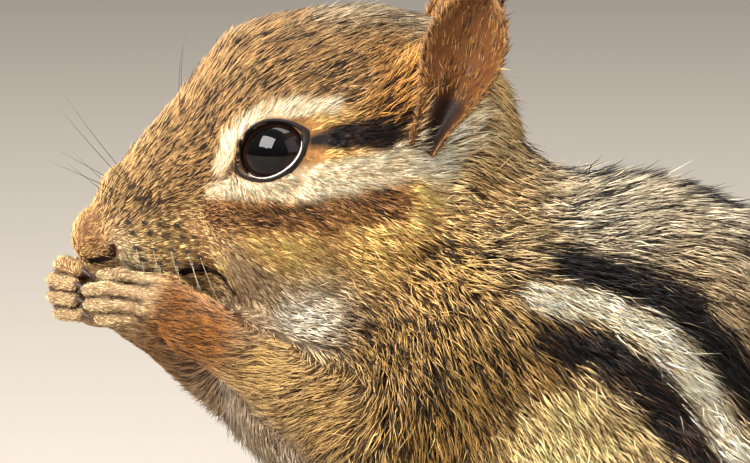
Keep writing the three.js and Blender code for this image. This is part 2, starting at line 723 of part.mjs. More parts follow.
const tailEnds = [0, ...TAIL_CUTS, 1];
for (let n = 0; n + 1 < tailEnds.length; n++)
  addMesh(`tail_${n + 1}`, "fur", makeTailLength(tailEnds[n], tailEnds[n + 1]));

// The origin is under the middle of the whole animal, on the surface that it sits on
const box = new THREE.Box3().setFromObject(group);
const middle = box.getCenter(new THREE.Vector3());
group.position.set(-middle.x, -middle.y, 0);

export default group;
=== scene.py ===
"""An eastern chipmunk at life size, sitting hunched on its haunches with both hands at its mouth.

Forms are worked out in millimetres, in the solids' own modelling frame, and turned into metres
when a mesh is made. The animal faces -X, its left side faces -Y, and it sits on the plane z = 0.
"""

import math

import bpy
import numpy as np
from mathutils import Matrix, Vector
from mathutils.kdtree import KDTree


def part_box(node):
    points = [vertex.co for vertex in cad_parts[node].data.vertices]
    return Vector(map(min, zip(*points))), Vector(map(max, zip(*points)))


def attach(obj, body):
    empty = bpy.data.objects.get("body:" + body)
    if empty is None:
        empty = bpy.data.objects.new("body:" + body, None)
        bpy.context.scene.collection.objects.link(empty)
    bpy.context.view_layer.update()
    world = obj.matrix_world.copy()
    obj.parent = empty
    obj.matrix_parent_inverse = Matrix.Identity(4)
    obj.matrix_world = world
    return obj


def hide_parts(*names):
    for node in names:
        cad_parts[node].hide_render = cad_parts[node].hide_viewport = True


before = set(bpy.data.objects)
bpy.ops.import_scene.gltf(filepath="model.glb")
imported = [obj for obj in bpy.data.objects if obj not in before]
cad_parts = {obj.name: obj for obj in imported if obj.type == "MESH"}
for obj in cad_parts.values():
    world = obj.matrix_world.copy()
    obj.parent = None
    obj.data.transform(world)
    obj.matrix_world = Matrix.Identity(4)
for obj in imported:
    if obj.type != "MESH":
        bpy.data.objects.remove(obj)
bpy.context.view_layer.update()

# Driving dimensions, in millimetres and degrees
MM = 0.001
LEFT, RIGHT = -1, 1
EYE_CENTRE = np.array([27.8, 8.3, 57.7])
EYE_RADIUS = 3.7
GAZE = np.array([-0.3, 0.93, 0.2])
LID_TILT = 27
LID_INNER = (3.35, 2.65)
LID_OUTER = (4.5, 3.1)
LID_HEIGHT = 0.24  # of the rims over the skin
LID_THICKNESS = 0.45
WET_RADIUS = 0.11  # of the wet edge along the lower lid
LID_SHARPNESS = 1.6  # 1 is an ellipse, and more draws the corners out to points

SHOULDER = np.array([50, 10.5, 41])
ELBOW = np.array([38, 12, 30])
FAR_ELBOW = np.array([34, 12, 24.5])
WRIST = np.array([19.5, 7.5, 40.3])
FAR_WRIST = np.array([14.5, 7.8, 39.4])
HIP = np.array([68, 11.5, 20])
KNEE = np.array([48.5, 16, 13.5])
HEEL = np.array([70.5, 13.5, 3.0])
INSTEP = np.array([57, 14.8, 2.6])
BALL = np.array([47.5, 15.5, 2.2])
HIND_TOE_LENGTH = 8.5
FINGER_RADIUS = 0.9
FAR_FINGER_RADIUS = 1.05
TOE_RADIUS = 1.15
NEAR_FINGERS = [
    [(15.4, -6.0, 44.8), (11.9, -5.9, 45.3), (10.2, -3.7, 45.0)],
    [(15.0, -6.3, 43.4), (10.4, -6.1, 43.9), (8.6, -3.7, 43.5)],
    [(15.0, -6.3, 41.9), (10.5, -6.1, 42.3), (8.8, -3.7, 42.0)],
    [(15.2, -6.0, 40.5), (11.4, -5.9, 40.8), (9.9, -3.9, 40.6)],
]
FAR_FINGERS = [
    [(8.4, 4.3, 45.0), (5.9, 3.1, 45.3), (7.6, 1.3, 44.9)],
    [(7.8, 4.4, 43.5), (5.2, 3.0, 43.7), (7.0, 1.0, 43.5)],
    [(7.8, 4.4, 42.0), (5.2, 3.0, 42.1), (7.0, 1.0, 42.0)],
    [(8.3, 4.3, 40.5), (5.8, 3.1, 40.5), (7.6, 1.2, 40.4)],
]

EAR_BASE = np.array([42.2, 12.3, 58.3])
EAR_TIP = np.array([48.6, 15.4, 73.5])
EAR_FACING = np.array([-0.35, 0.92, 0.12])
EAR_HALF_WIDTH = 4.0
EAR_CUP = 3.0
EAR_THICKNESS = 0.62
CANAL_LINE = [(43.2, 12.9, 64.2), (42.7, 12.6, 61.6), (41.9, 12.1, 59.2)]

TAIL_LINE = [
    (84, 0, 7.5), (92, 0.4, 4.0), (108, 2.5, 3.1), (128, 4.6, 3.0),
    (150, 2.6, 2.9), (168, -3.0, 2.7), (180, -9.0, 2.4),
]
TAIL_HALF_WIDTH = 3.9
TAIL_HALF_HEIGHT = 2.1

eye_low, eye_high = (np.array(corner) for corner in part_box("eye_left"))
SHIFT = (eye_low + eye_high) / 2 / MM - EYE_CENTRE * (1, LEFT, 1)

rng = np.random.default_rng(11)


def unit(v):
    v = np.asarray(v, float)
    return v / np.maximum(np.linalg.norm(v, axis=-1, keepdims=True), 1e-12)


def on_side(side, p):
    return np.asarray(p, float) * (1, side, 1)


def mirrored(p):
    """The same places with the left half folded onto the right one, where y is positive."""
    return np.abs(p * (0, 1, 0)) + p * (1, 0, 1)


def side_name(side):
    return "left" if side == LEFT else "right"


def in_plane(directions, normals):
    """Directions laid into the planes that have these unit normals."""
    return unit(directions - (directions * normals).sum(1, keepdims=True) * normals)


def smooth(low, high, value):
    t = np.clip((value - low) / (high - low), 0, 1)
    return t * t * (3 - 2 * t)


# Distance functions over rows of points, negative inside


def ellipsoid(centre, radii, pitch=0):
    centre, radii = np.asarray(centre, float), np.asarray(radii, float)
    c, s = math.cos(math.radians(pitch)), math.sin(math.radians(pitch))

    def field(p):
        d = p - centre
        q = np.stack((d[:, 0] * c + d[:, 2] * s, d[:, 1], d[:, 2] * c - d[:, 0] * s), -1) / radii
        scaled = np.linalg.norm(q, axis=1)
        steep = np.linalg.norm(q / radii, axis=1)
        return np.where(steep > 1e-9, scaled * (scaled - 1) / np.maximum(steep, 1e-9), -radii.min())

    return field


def rod(a, ra, b, rb, widened=1):
    """A rod with round ends whose radius runs from ra to rb, with its section widened in y."""
    a, b = np.asarray(a, float), np.asarray(b, float)
    d = b - a

    def field(p):
        t = np.clip((p - a) @ d / (d @ d), 0, 1)
        away = p - a - t[:, None] * d
        away[:, 1] /= widened
        return np.linalg.norm(away, axis=1) - (ra + (rb - ra) * t)

    return field


def melted(*forms):
    """The union of (form, blend) pairs, where a form melts by blend into those before it."""

    def field(p):
        near = np.full(len(p), 1e3)
        for form, blend in forms:
            d = form(p)
            overlap = np.maximum(blend - np.abs(near - d), 0) / blend
            near = np.minimum(near, d) - overlap * overlap * blend / 4
        return near

    return field


def in_pair(centre, radii, pitch, blend):
    return [(ellipsoid(on_side(side, centre), radii, pitch), blend) for side in (LEFT, RIGHT)]


trunk = melted(
    (ellipsoid((35.6, 0, 59.8), (16.0, 11.2, 12.6)), 1),
    (rod((27.5, 0, 60.4), 10.0, (13.8, 0, 51.9), 4.7), 3),
    (ellipsoid((9.9, 0, 48.5), (3.2, 2.8, 3.4)), 1.6),
    *in_pair((16.2, 3.1, 47.9), (6.3, 3.3, 3.6), -14, 1.8),
    (rod((13.4, 0, 44.7), 2.3, (25, 0, 45.9), 5.2), 1.2),
    *in_pair((29.5, 6.0, 50.4), (9.0, 6.4, 8.2), 0, 4),
    *in_pair((27.5, 7.0, 61.2), (5.5, 2.8, 3.0), 10, 3),
    *in_pair((39.5, 4.5, 50.0), (11, 9.5, 11.5), 0, 5),
    *in_pair((40.4, 9.4, 62.8), (6.0, 3.2, 3.6), 65, 2.5),
    (rod((40, 0, 55.5), 10.6, (48.6, 0, 43.6), 12.4), 4),
    (rod((34.5, 0, 35.5), 12.8, (45.5, 0, 24), 16.2), 5),
    (rod((49, 0, 42), 14.5, (61, 0, 34), 21.2, 0.86), 5),
    (rod((61, 0, 34), 21.2, (66.5, 0, 23.5), 21.6, 0.95), 4),
    (ellipsoid((71, 0, 15), (15, 15, 15.3)), 6),
)


def digit_forms(line, radius):
    knuckle, middle, tip = line
    return [
        (rod(knuckle, radius, middle, radius * 0.95), 0.35),
        (rod(middle, radius * 0.95, tip, radius * 0.85), 0.35),
    ]


def toe_lines(side):
    made = []
    for place in (-2, -1, 0, 1, 2):
        length = HIND_TOE_LENGTH * (1 - 0.1 * place**2)
        x, y, z = on_side(side, BALL)
        made.append(
            [
                (x + 2, y + 1.1 * side * place, z),
                (x - length * 0.4, y + 1.75 * side * place, z + 0.4),
                (x - length, y + 2.3 * side * place, 1.25),
            ]
        )
    return made


def limb_forms(side):
    wrist = on_side(side, WRIST if side == LEFT else FAR_WRIST)
    elbow = on_side(side, ELBOW if side == LEFT else FAR_ELBOW)
    knee = on_side(side, KNEE)
    forms = [
        (rod(on_side(side, SHOULDER), 9.5, elbow, 6.0), 5),
        (rod(elbow, 5.8, wrist, 3.1), 2.5),
        (rod(on_side(side, HIP), 13.2, knee, 7.6, 0.9), 5),
        (rod(knee, 6.4, on_side(side, (66, 14, 6)), 4.4), 3),
        (rod(on_side(side, HEEL), 3.1, on_side(side, INSTEP), 2.9, 1.15), 1.5),
        (rod(on_side(side, INSTEP), 2.9, on_side(side, BALL), 2.3, 1.6), 1),
    ]
    if side == LEFT:
        forms += [
            (ellipsoid((16.4, -6.4, 42.3), (3.3, 2.0, 3.4), -15), 1),
            (rod((19.6, -7.5, 40.2), 3.0, (17.4, -6.6, 41.6), 2.4), 1.5),
        ]
    else:
        forms += [
            (ellipsoid((8.9, 4.9, 42.4), (2.9, 2.3, 3.6)), 1),
            (rod((14.5, 7.8, 39.5), 3.0, (10.5, 5.8, 41.0), 2.4), 1.5),
        ]
    radius = FINGER_RADIUS if side == LEFT else FAR_FINGER_RADIUS
    for line in NEAR_FINGERS if side == LEFT else FAR_FINGERS:
        forms += digit_forms(line, radius)
    for line in toe_lines(side):
        forms += digit_forms(line, TOE_RADIUS)
    return forms


body = melted((trunk, 1), *limb_forms(LEFT), *limb_forms(RIGHT))


def slope(form, p, reach=0.05):
    steps = np.eye(3) * reach
    return np.stack([form(p + s) - form(p - s) for s in steps], -1) / (2 * reach)


def onto_surface(form, p, rounds=3, most=0.5):
    for _ in range(rounds):
        g = slope(form, p)
        move = form(p) / np.maximum(0.2, (g * g).sum(1))
        p = p - g * np.clip(move, -most, most)[:, None]
    return p


# The coat: places with positive y, used for both sides, each with the lie of the hair, its length,
# its lift off the skin in degrees, and the name of its colours
COAT_GUIDES = [
    ((7.2, 0.5, 49.5), (0.2, 0.4, 0.9), 0.8, 14, "nose"),
    ((8.6, 2.5, 48.0), (0.6, 0.5, 0.3), 0.8, 12, "nose"),
    ((12.0, 0, 55.0), (0.72, 0, 0.7), 1.3, 14, "bridge"),
    ((14.0, 4.2, 52.5), (0.75, 0, 0.6), 1.3, 12, "bridge"),
    ((16.0, 5.8, 48.6), (0.95, 0.2, 0.0), 1.2, 12, "muzzle"),
    ((13.0, 4.8, 46.8), (0.8, 0.2, -0.3), 1.0, 12, "lip"),
    ((20.0, 6.5, 46.4), (0.95, 0.2, -0.25), 1.3, 12, "muzzle"),
    ((19.0, 0, 63.0), (0.72, 0, 0.68), 1.7, 18, "crown"),
    ((20.5, 6.5, 57.5), (0.78, 0.1, 0.6), 1.5, 14, "crown"),
    ((27.0, 0, 70.0), (0.85, 0, 0.45), 2.0, 20, "crown"),
    ((27.0, 8.0, 65.0), (0.85, 0, 0.5), 1.8, 16, "crown"),
    ((35.0, 0, 72.5), (1, 0, 0.05), 2.3, 22, "crown_grey"),
    ((35.0, 9.5, 65.0), (0.9, 0, 0.4), 2.0, 18, "crown"),
    ((42.0, 0, 70.5), (0.9, 0, -0.4), 2.6, 24, "crown_grey"),
    ((39.5, 11.5, 62.5), (0.75, 0.2, 0.55), 2.9, 30, "ear_front"),
    ((40.5, 10.5, 67.0), (0.6, 0.1, 0.75), 2.7, 28, "ear_front"),
    ((34.0, 11.0, 59.0), (1, 0.1, 0.1), 1.8, 14, "cheek"),
    ((25.0, 8.5, 53.5), (1, 0.1, -0.05), 1.5, 13, "rust"),
    ((33.0, 12.5, 53.5), (0.95, 0.1, -0.3), 2.2, 16, "rust"),
    ((28.0, 12.0, 49.0), (0.9, 0.1, -0.45), 2.2, 20, "cheek"),
    ((38.0, 13.0, 50.0), (0.85, 0.2, -0.5), 3.0, 24, "cheek"),
    ((25.5, 9.0, 44.5), (0.75, 0.1, -0.6), 1.8, 20, "jaw"),
    ((16.0, 2.0, 43.0), (0.9, 0, -0.2), 1.1, 14, "jaw"),
    ((31.0, 8.0, 41.0), (0.95, 0.1, -0.2), 3.0, 22, "throat"),
    ((28.0, 2.0, 40.0), (0.8, 0, -0.5), 3.0, 22, "throat"),
    ((43.2, 12.8, 57.6), (0.85, 0.3, 0.25), 2.6, 30, "ear_white"),
    ((46.3, 11.8, 60.5), (0.7, 0.3, 0.5), 3.0, 36, "ear_white"),
    ((41.5, 13.2, 54.0), (0.9, 0.2, -0.15), 2.5, 22, "cheek"),
    ((48.5, 11.0, 55.5), (0.85, 0.2, -0.4), 3.4, 30, "nape"),
    ((50.5, 0, 62.5), (0.72, 0, -0.65), 3.8, 32, "nape"),
    ((44.0, 14.0, 47.5), (0.8, 0.2, -0.6), 3.8, 30, "shoulder"),
    ((52.0, 14.5, 50.0), (0.85, 0.2, -0.5), 4.2, 32, "shoulder_grey"),
    ((46.5, 18.5, 38.0), (0.55, 0.1, -0.85), 4.4, 28, "shoulder"),
    ((54.0, 19.5, 38.0), (0.72, 0.1, -0.7), 4.8, 28, "shoulder"),
    ((56.0, 20.5, 32.5), (0.65, 0.1, -0.77), 4.8, 28, "flank"),
    ((42.0, 18.0, 32.0), (0.1, 0.05, -1), 4.2, 26, "shoulder"),
    ((34.0, 15.5, 34.0), (-0.6, 0, -0.35), 3.4, 24, "forearm"),
    # Painted shade: the shoulder's colours darkened in the hollow between the forearm and the cheek
    ((38.0, 14.0, 39.0), (0.6, 0.1, -0.7), 3.6, 26, "shoulder_shaded"),
    ((27.0, 12.5, 37.0), (-0.9, 0, -0.05), 2.6, 22, "forearm"),
    ((21.0, 9.5, 40.0), (-0.95, 0, 0.15), 1.6, 18, "wrist"),
    ((16.5, 8.0, 39.8), (-0.95, 0, 0.15), 1.2, 16, "wrist"),
    ((18.0, 8.4, 42.6), (-0.95, 0, 0.15), 1.2, 16, "wrist"),
    ((13.6, 7.0, 43.6), (-1, 0, 0.1), 0.55, 9, "paw"),
    ((8.0, 4.5, 41.5), (-1, 0, 0.1), 0.5, 8, "paw"),
    ((10.5, 4.5, 43.0), (-1, 0, 0), 0.45, 8, "paw"),
    # The belly's own pale colour, darkened in part as painted shade on the underside
    ((23.5, 0, 34.0), (0.3, 0, -0.95), 3.6, 24, "belly_shaded"),
    ((30.0, 6.0, 22.0), (0.35, 0, -0.95), 4.0, 24, "belly_shaded"),
    ((36.0, 0, 12.0), (0.6, 0, -0.8), 4.0, 22, "belly_shaded"),
    ((60.0, 0, 57.5), (0.9, 0, -0.35), 4.6, 32, "back"),
    ((60.0, 11.0, 52.5), (0.9, 0.1, -0.35), 4.6, 30, "back"),
    ((75.0, 0, 48.0), (0.7, 0, -0.72), 4.8, 30, "back"),
    ((85.0, 0, 34.0), (0.3, 0, -0.95), 4.8, 28, "back"),
    ((86.5, 6.0, 20.0), (0.15, 0, -1), 4.8, 26, "rump"),
    ((63.0, 19.5, 38.0), (0.78, 0, -0.62), 4.8, 28, "flank_high"),
    ((76.0, 16.5, 32.0), (0.5, 0, -0.85), 4.8, 28, "flank_high"),
    ((57.0, 20.5, 27.0), (0.55, 0.05, -0.85), 4.8, 26, "flank"),
    ((66.0, 22.0, 20.0), (0.35, 0, -0.95), 4.6, 26, "flank"),
    ((76.0, 17.0, 14.0), (0.3, 0, -0.95), 4.4, 26, "rump"),
    ((47.0, 20.0, 16.0), (0.1, 0, -1), 3.6, 24, "flank"),
    ((43.0, 15.0, 11.0), (-0.1, 0, -1), 2.6, 20, "belly_shaded"),
    ((56.0, 18.0, 8.0), (0.3, 0, -0.95), 2.6, 20, "thigh_low"),
    ((60.0, 14.8, 4.5), (-0.9, 0, -0.1), 1.2, 16, "paw"),
    ((48.0, 15.5, 3.5), (-1, 0, 0), 0.7, 12, "paw"),
    ((41.0, 15.5, 2.5), (-1, 0, 0), 0.5, 12, "paw"),
    ((72.0, 13.5, 4.0), (0.2, 0, -1), 1.2, 16, "paw"),
]

# Colours as sRGB: pale hairs, dark hairs, the share of dark hairs, and the skin between them, dark
# as underfur and partly as painted shade between the hairs
COLOURS = {
    "nose": ((0.84, 0.66, 0.42), (0.34, 0.21, 0.11), 0.30, (0.40, 0.27, 0.17)),
    "bridge": ((0.82, 0.65, 0.42), (0.18, 0.11, 0.06), 0.44, (0.20, 0.13, 0.08)),
    "muzzle": ((0.97, 0.79, 0.53), (0.36, 0.23, 0.12), 0.20, (0.44, 0.31, 0.18)),
    "lip": ((0.90, 0.80, 0.62), (0.50, 0.36, 0.24), 0.20, (0.46, 0.35, 0.25)),
    "crown": ((0.80, 0.62, 0.40), (0.12, 0.08, 0.05), 0.48, (0.14, 0.095, 0.06)),
    "crown_grey": ((0.82, 0.71, 0.56), (0.12, 0.09, 0.07), 0.45, (0.15, 0.11, 0.08)),
    "ear_front": ((0.84, 0.60, 0.30), (0.18, 0.10, 0.05), 0.42, (0.18, 0.11, 0.06)),
    "cheek": ((1.0, 0.80, 0.49), (0.52, 0.33, 0.16), 0.15, (0.58, 0.40, 0.21)),
    "rust": ((0.74, 0.54, 0.32), (0.22, 0.12, 0.06), 0.44, (0.24, 0.15, 0.08)),
    "jaw": ((0.78, 0.67, 0.52), (0.46, 0.36, 0.26), 0.28, (0.40, 0.32, 0.23)),
    "throat": ((0.94, 0.90, 0.82), (0.66, 0.58, 0.48), 0.18, (0.50, 0.44, 0.37)),
    "ear_white": ((1.0, 0.95, 0.83), (0.70, 0.58, 0.42), 0.14, (0.54, 0.45, 0.33)),
    "nape": ((0.96, 0.77, 0.52), (0.24, 0.15, 0.09), 0.32, (0.24, 0.155, 0.095)),
    "shoulder": ((0.83, 0.66, 0.39), (0.17, 0.11, 0.055), 0.44, (0.14, 0.09, 0.05)),
    "shoulder_grey": ((0.78, 0.67, 0.48), (0.20, 0.14, 0.09), 0.38, (0.20, 0.15, 0.10)),
    # Painted shade: the shoulder's colours darkened for the deep shade between the forearm and the
    # cheek
    "shoulder_shaded": ((0.70, 0.55, 0.31), (0.12, 0.075, 0.04), 0.52, (0.12, 0.075, 0.045)),
    "forearm": ((0.74, 0.60, 0.37), (0.32, 0.22, 0.11), 0.36, (0.25, 0.18, 0.10)),
    "wrist": ((0.58, 0.37, 0.15), (0.24, 0.13, 0.05), 0.38, (0.20, 0.115, 0.05)),
    "paw": ((0.86, 0.75, 0.57), (0.62, 0.48, 0.32), 0.20, (0.54, 0.43, 0.31)),
    # The belly's own pale colour, darkened in part as painted shade on the underside at the front
    "belly_shaded": ((0.74, 0.68, 0.60), (0.48, 0.42, 0.36), 0.22, (0.34, 0.30, 0.26)),
    "back": ((0.84, 0.77, 0.65), (0.17, 0.14, 0.115), 0.40, (0.20, 0.165, 0.135)),
    "flank_high": ((0.80, 0.69, 0.52), (0.21, 0.15, 0.10), 0.36, (0.22, 0.165, 0.12)),
    "flank": ((1.0, 0.87, 0.62), (0.40, 0.28, 0.17), 0.20, (0.38, 0.28, 0.18)),
    "thigh_low": ((0.86, 0.75, 0.57), (0.46, 0.35, 0.24), 0.24, (0.38, 0.30, 0.22)),
    "rump": ((0.76, 0.54, 0.31), (0.24, 0.15, 0.08), 0.34, (0.26, 0.175, 0.105)),
    "cream": ((0.98, 0.90, 0.75), (0.72, 0.58, 0.42), 0.18, (0.66, 0.56, 0.43)),
    "white": ((1.0, 0.96, 0.84), (0.80, 0.70, 0.54), 0.12, (0.66, 0.57, 0.45)),
    "black": ((0.14, 0.10, 0.08), (0.05, 0.042, 0.04), 0.72, (0.045, 0.036, 0.034)),
    "brown_black": ((0.24, 0.155, 0.095), (0.06, 0.045, 0.04), 0.7, (0.055, 0.042, 0.038)),
}

# Stripes, and one painted shadow: colours, half width at each end, softness of the edge, and the
# line with positive y
STRIPES_AND_SHADOW = [
    ("rust", (1.7, 1.9), 0.7, [
        (21.5, 8, 52.0), (27, 11, 51.8), (33, 12.5, 52.6), (39.5, 12.5, 53.4),
    ]),
    ("cream", (0.7, 1.8), 0.5, [
        (21.6, 7, 53.8), (25, 10, 54.4), (31, 12, 55.0), (36, 12, 55.9), (41.0, 12, 57.0),
    ]),
    ("cream", (0.8, 0.9), 0.4, [
        (22.6, 7, 56.2), (23.6, 8, 59.6), (26.2, 9, 61.6), (29.7, 10, 62.5), (33.5, 11, 63.0),
    ]),
    ("brown_black", (0.7, 1.5), 0.4, [(31.4, 11, 59.2), (35.0, 12, 60.0), (39.0, 12, 60.0)]),
    ("black", (0.5, 1.7), 0.8, [
        (48, 0, 64), (56, 0, 59), (64, 0, 56.0), (74, 0, 50.0), (83, 0, 38), (86.5, 0, 22),
    ]),
    # Painted shadow: a short black stripe in the gap behind the corner of the mouth, where the jaw
    # meets the wrist
    ("black", (0.7, 0.5), 0.5, [(18.6, 6, 45.0), (20.4, 7, 43.9), (21.4, 7.5, 42.4)]),
    ("black", (1.8, 2.2), 0.7, [
        (57, 17, 48.9), (60.5, 18, 48.4), (64, 18.5, 46.9), (69, 18, 43.2),
        (73, 17, 38), (75.5, 15.5, 34), (79.5, 13, 27), (84, 7, 17),
    ]),
    ("brown_black", (1.8, 2.2), 0.8, [
        (55, 19, 40), (60, 20.5, 39.4), (65, 21, 35.8), (68, 20.5, 31.8),
        (69.2, 20, 28), (74, 17, 18.5), (80, 10.5, 12),
    ]),
    ("white", (1.4, 1.7), 0.5, [
        (53.5, 18, 44.2), (60, 19, 44.3), (65, 20, 41.7), (69, 19.5, 37.1),
        (71.6, 18.5, 32.1), (72.8, 18, 27.8), (77.5, 15, 20), (83, 8, 13.5),
    ]),
]
COLOUR_NAMES = list(COLOURS)


def to_linear(srgb):
    srgb = np.asarray(srgb, float)
    return np.where(srgb <= 0.04045, srgb / 12.92, ((np.maximum(srgb, 0) + 0.055) / 1.055) ** 2.4)


PALETTE = np.array(
    [
        [*to_linear(pale), *to_linear(dark), share, *to_linear(under)]
        for pale, dark, share, under in COLOURS.values()
    ]
)
GUIDE_PLACES = np.array([g[0] for g in COAT_GUIDES])
GUIDE_FIELDS = np.array([[*unit(g[1]), g[2], g[3]] for g in COAT_GUIDES])
GUIDE_COLOURS = PALETTE[[COLOUR_NAMES.index(g[4]) for g in COAT_GUIDES]]


BATCH = 60000  # places worked out at once
GUIDE_REACH = 0.3  # square millimetres, which keeps a guide from taking over the places beside it


def guided(p, values):
    """Values at points, blended from the guides by distance, alike on both sides of the body."""
    places = mirrored(p)
    made = np.empty((len(p), values.shape[1]))
    for start in range(0, len(p), BATCH):
        rows = places[start : start + BATCH]
        away = ((rows[:, None] - GUIDE_PLACES[None]) ** 2).sum(-1)
        weight = (away + GUIDE_REACH) ** -2.0
        made[start : start + BATCH] = weight @ values / weight.sum(1, keepdims=True)
    return made


def coat_depth(p):
    """How far the skin lies inside the coat's outer surface."""
    fields = guided(p, GUIDE_FIELDS[:, 3:])
    return 0.1 + 0.5 * fields[:, 0] * np.sin(np.radians(fields[:, 1] + 10))


def skin_level(p):
    return body(p) + coat_depth(p)


def length_marks(line):
    """How far along a polyline each of its corners lies."""
    return np.concatenate(([0], np.cumsum(np.linalg.norm(np.diff(line, axis=0), axis=1))))


def along_line(line, distances):
    marks = length_marks(line)
    return np.stack([np.interp(distances, marks, line[:, d]) for d in range(3)], -1)


def line_distance(p, line):
    """Distance to a polyline, and the share of its length at the nearest place."""
    line = np.asarray(line, float)
    lengths = np.linalg.norm(np.diff(line, axis=0), axis=1)
    starts = np.concatenate(([0], np.cumsum(lengths)))
    best, share = np.full(len(p), 1e9), np.zeros(len(p))
    for n, (a, b) in enumerate(zip(line[:-1], line[1:])):
        d = b - a
        t = np.clip((p - a) @ d / (d @ d), 0, 1)
        away = np.linalg.norm(p - a - t[:, None] * d, axis=1)
        closer = away < best
        best = np.where(closer, away, best)
        share = np.where(closer, (starts[n] + t * lengths[n]) / starts[-1], share)
    return best, share


def draw_stripes_and_shadow():
    """Each line of the stripes and of the painted shadow, finely divided and laid on the body's
    surface.
    """
    made = []
    for name, widths, softness, line in STRIPES_AND_SHADOW:
        line = on_side(1, line)
        spans = [np.linspace(a, b, 7)[:-1] for a, b in zip(line[:-1], line[1:])]
        dense = np.concatenate(spans + [line[-1:]])
        laid = onto_surface(skin_level, dense, rounds=12, most=2.0)
        laid[:, 1] = np.where(dense[:, 1] == 0, 0, laid[:, 1])
        made.append((name, widths, softness, laid))
    return made


STRIPES_AND_SHADOW_LAID = draw_stripes_and_shadow()
# Painted shade in the creases between the fingers: how much darker the skin and hairs are drawn
# there
CREASE_SHADE = 0.85
HANDS_WITHIN = (18, 37, 48)  # the rear end of both hands, and their low and high ends


def finger_creases(p):
    """1 in the creases between the fingers, where shade is painted, and 0 on the fingers."""
    crease = np.zeros(len(p))
    for fingers in (NEAR_FINGERS, FAR_FINGERS):
        away = [line_distance(p, line)[0] for line in fingers]
        for a, b in zip(away, away[1:]):
            between = 1 - smooth(0.1, 0.6, np.abs(a - b))
            crease = np.maximum(crease, between * (1 - smooth(1.3, 1.9, np.minimum(a, b))))
    return crease


def markings_and_painted_shade(p):
    """Rows of pale colour, dark colour, dark share and skin colour at points on the body: markings
    and painted shade.
    """
    places = mirrored(p)
    rows = guided(p, GUIDE_COLOURS)
    for name, (first, last), softness, line in STRIPES_AND_SHADOW_LAID:
        away, share = line_distance(places, line)
        width = first + (last - first) * np.minimum(1, share * 2.2)
        mask = 1 - smooth(width - softness, width + softness, away)
        rows += mask[:, None] * (PALETTE[COLOUR_NAMES.index(name)] - rows)
    # Painted shade: the skin and hair colours darkened in the creases between the fingers
    ahead, low, high = HANDS_WITHIN
    hands = np.flatnonzero((p[:, 0] < ahead) & (p[:, 2] > low) & (p[:, 2] < high))
    if len(hands):
        shade = 1 - CREASE_SHADE * finger_creases(p[hands])[:, None]
        rows[hands, :6] *= shade
        rows[hands, 7:] *= shade
    return rows


# Meshes


def make_mesh(name, vertices, faces, material, colours=None, uvs=None, smooth_shaded=True):
    """An object from vertices in millimetres and faces that all have as many corners."""
    vertices = (np.asarray(vertices, float) + SHIFT) * MM
    faces = np.asarray(faces, np.int32)
    corners = faces.shape[1]
    mesh = bpy.data.meshes.new(name)
    mesh.vertices.add(len(vertices))
    mesh.vertices.foreach_set("co", vertices.astype(np.float32).ravel())
    mesh.loops.add(faces.size)
    mesh.loops.foreach_set("vertex_index", faces.ravel())
    mesh.polygons.add(len(faces))
    mesh.polygons.foreach_set("loop_start", np.arange(0, faces.size, corners, dtype=np.int32))
    mesh.polygons.foreach_set("use_smooth", np.full(len(faces), smooth_shaded))
    if colours is not None:
        rows = np.concatenate((np.clip(colours, 0, 1), np.ones((len(colours), 1))), 1)
        layer = mesh.color_attributes.new("coat_colour", "FLOAT_COLOR", "POINT")
        layer.data.foreach_set("color", rows.astype(np.float32).ravel())
    if uvs is not None:
        layer = mesh.uv_layers.new(name="OFBake")
        layer.data.foreach_set("uv", uvs[faces.ravel()].astype(np.float32).ravel())
    mesh.update(calc_edges=True)
    mesh.materials.append(material)
    made = bpy.data.objects.new(name, mesh)
    bpy.context.scene.collection.objects.link(made)
    return made


def joined(parts):
    """Vertices and faces of several (vertices, faces) parts as one."""
    offsets = np.cumsum([0] + [len(v) for v, _ in parts[:-1]])
    faces = np.concatenate([f + offset for (_, f), offset in zip(parts, offsets)])
    return np.concatenate([v for v, _ in parts]), faces


def grid(rows, columns):
    """Every row's value beside every column's, as two flat arrays."""
    return (values.ravel() for values in np.meshgrid(rows, columns, indexing="ij"))


def halved(quads):
    """Each quad as two triangles."""
    return np.concatenate((quads[:, [0, 1, 2]], quads[:, [0, 2, 3]]))


def wrapped(rows, columns, closed_rows=False):
    """Quads over a grid of rows x columns vertices, which closes round its columns."""
    r, c = grid(np.arange(rows if closed_rows else rows - 1), np.arange(columns))
    down, right = (r + 1) % rows, (c + 1) % columns
    upper, lower = r * columns, down * columns
    return np.stack((upper + c, upper + right, lower + right, lower + c), 1)


def tube(line, radii, sides=6, flat=1.0, up=(0, 0, 1)):
    """A closed tube through the points of a line, with its ends drawn to a small cap."""
    line, radii = np.asarray(line, float), np.asarray(radii, float)
    along = unit(np.gradient(line, axis=0))
    across = unit(np.cross(up, along))
    rise = np.cross(along, across)
    turns = np.linspace(0, 2 * math.pi, sides, endpoint=False)
    c, s = np.cos(turns)[None, :, None], np.sin(turns)[None, :, None]
    ring = c * across[:, None] + flat * s * rise[:, None]
    vertices = line[:, None] + radii[:, None, None] * ring
    rings = [np.repeat(line[:1, None], sides, 1), vertices, np.repeat(line[-1:, None], sides, 1)]
    return cap_points(np.concatenate(rings), sides)


def cap_points(rings, sides):
    """Merges the first and the last ring, whose vertices coincide, into one vertex each."""
    count = len(rings)
    body_rings = rings[1:-1].reshape(-1, 3)
    vertices = np.concatenate((rings[0, :1], body_rings, rings[-1, :1]))
    quads = wrapped(count - 2, sides) + 1
    c = np.arange(sides)
    right = (c + 1) % sides
    last = 1 + (count - 3) * sides
    ends = [
        np.stack((np.zeros(sides, int), right + 1, c + 1), 1),
        np.stack((np.full(sides, len(vertices) - 1), last + c, last + right), 1),
    ]
    return vertices, np.concatenate((halved(quads), *ends))[:, ::-1]


# Skin


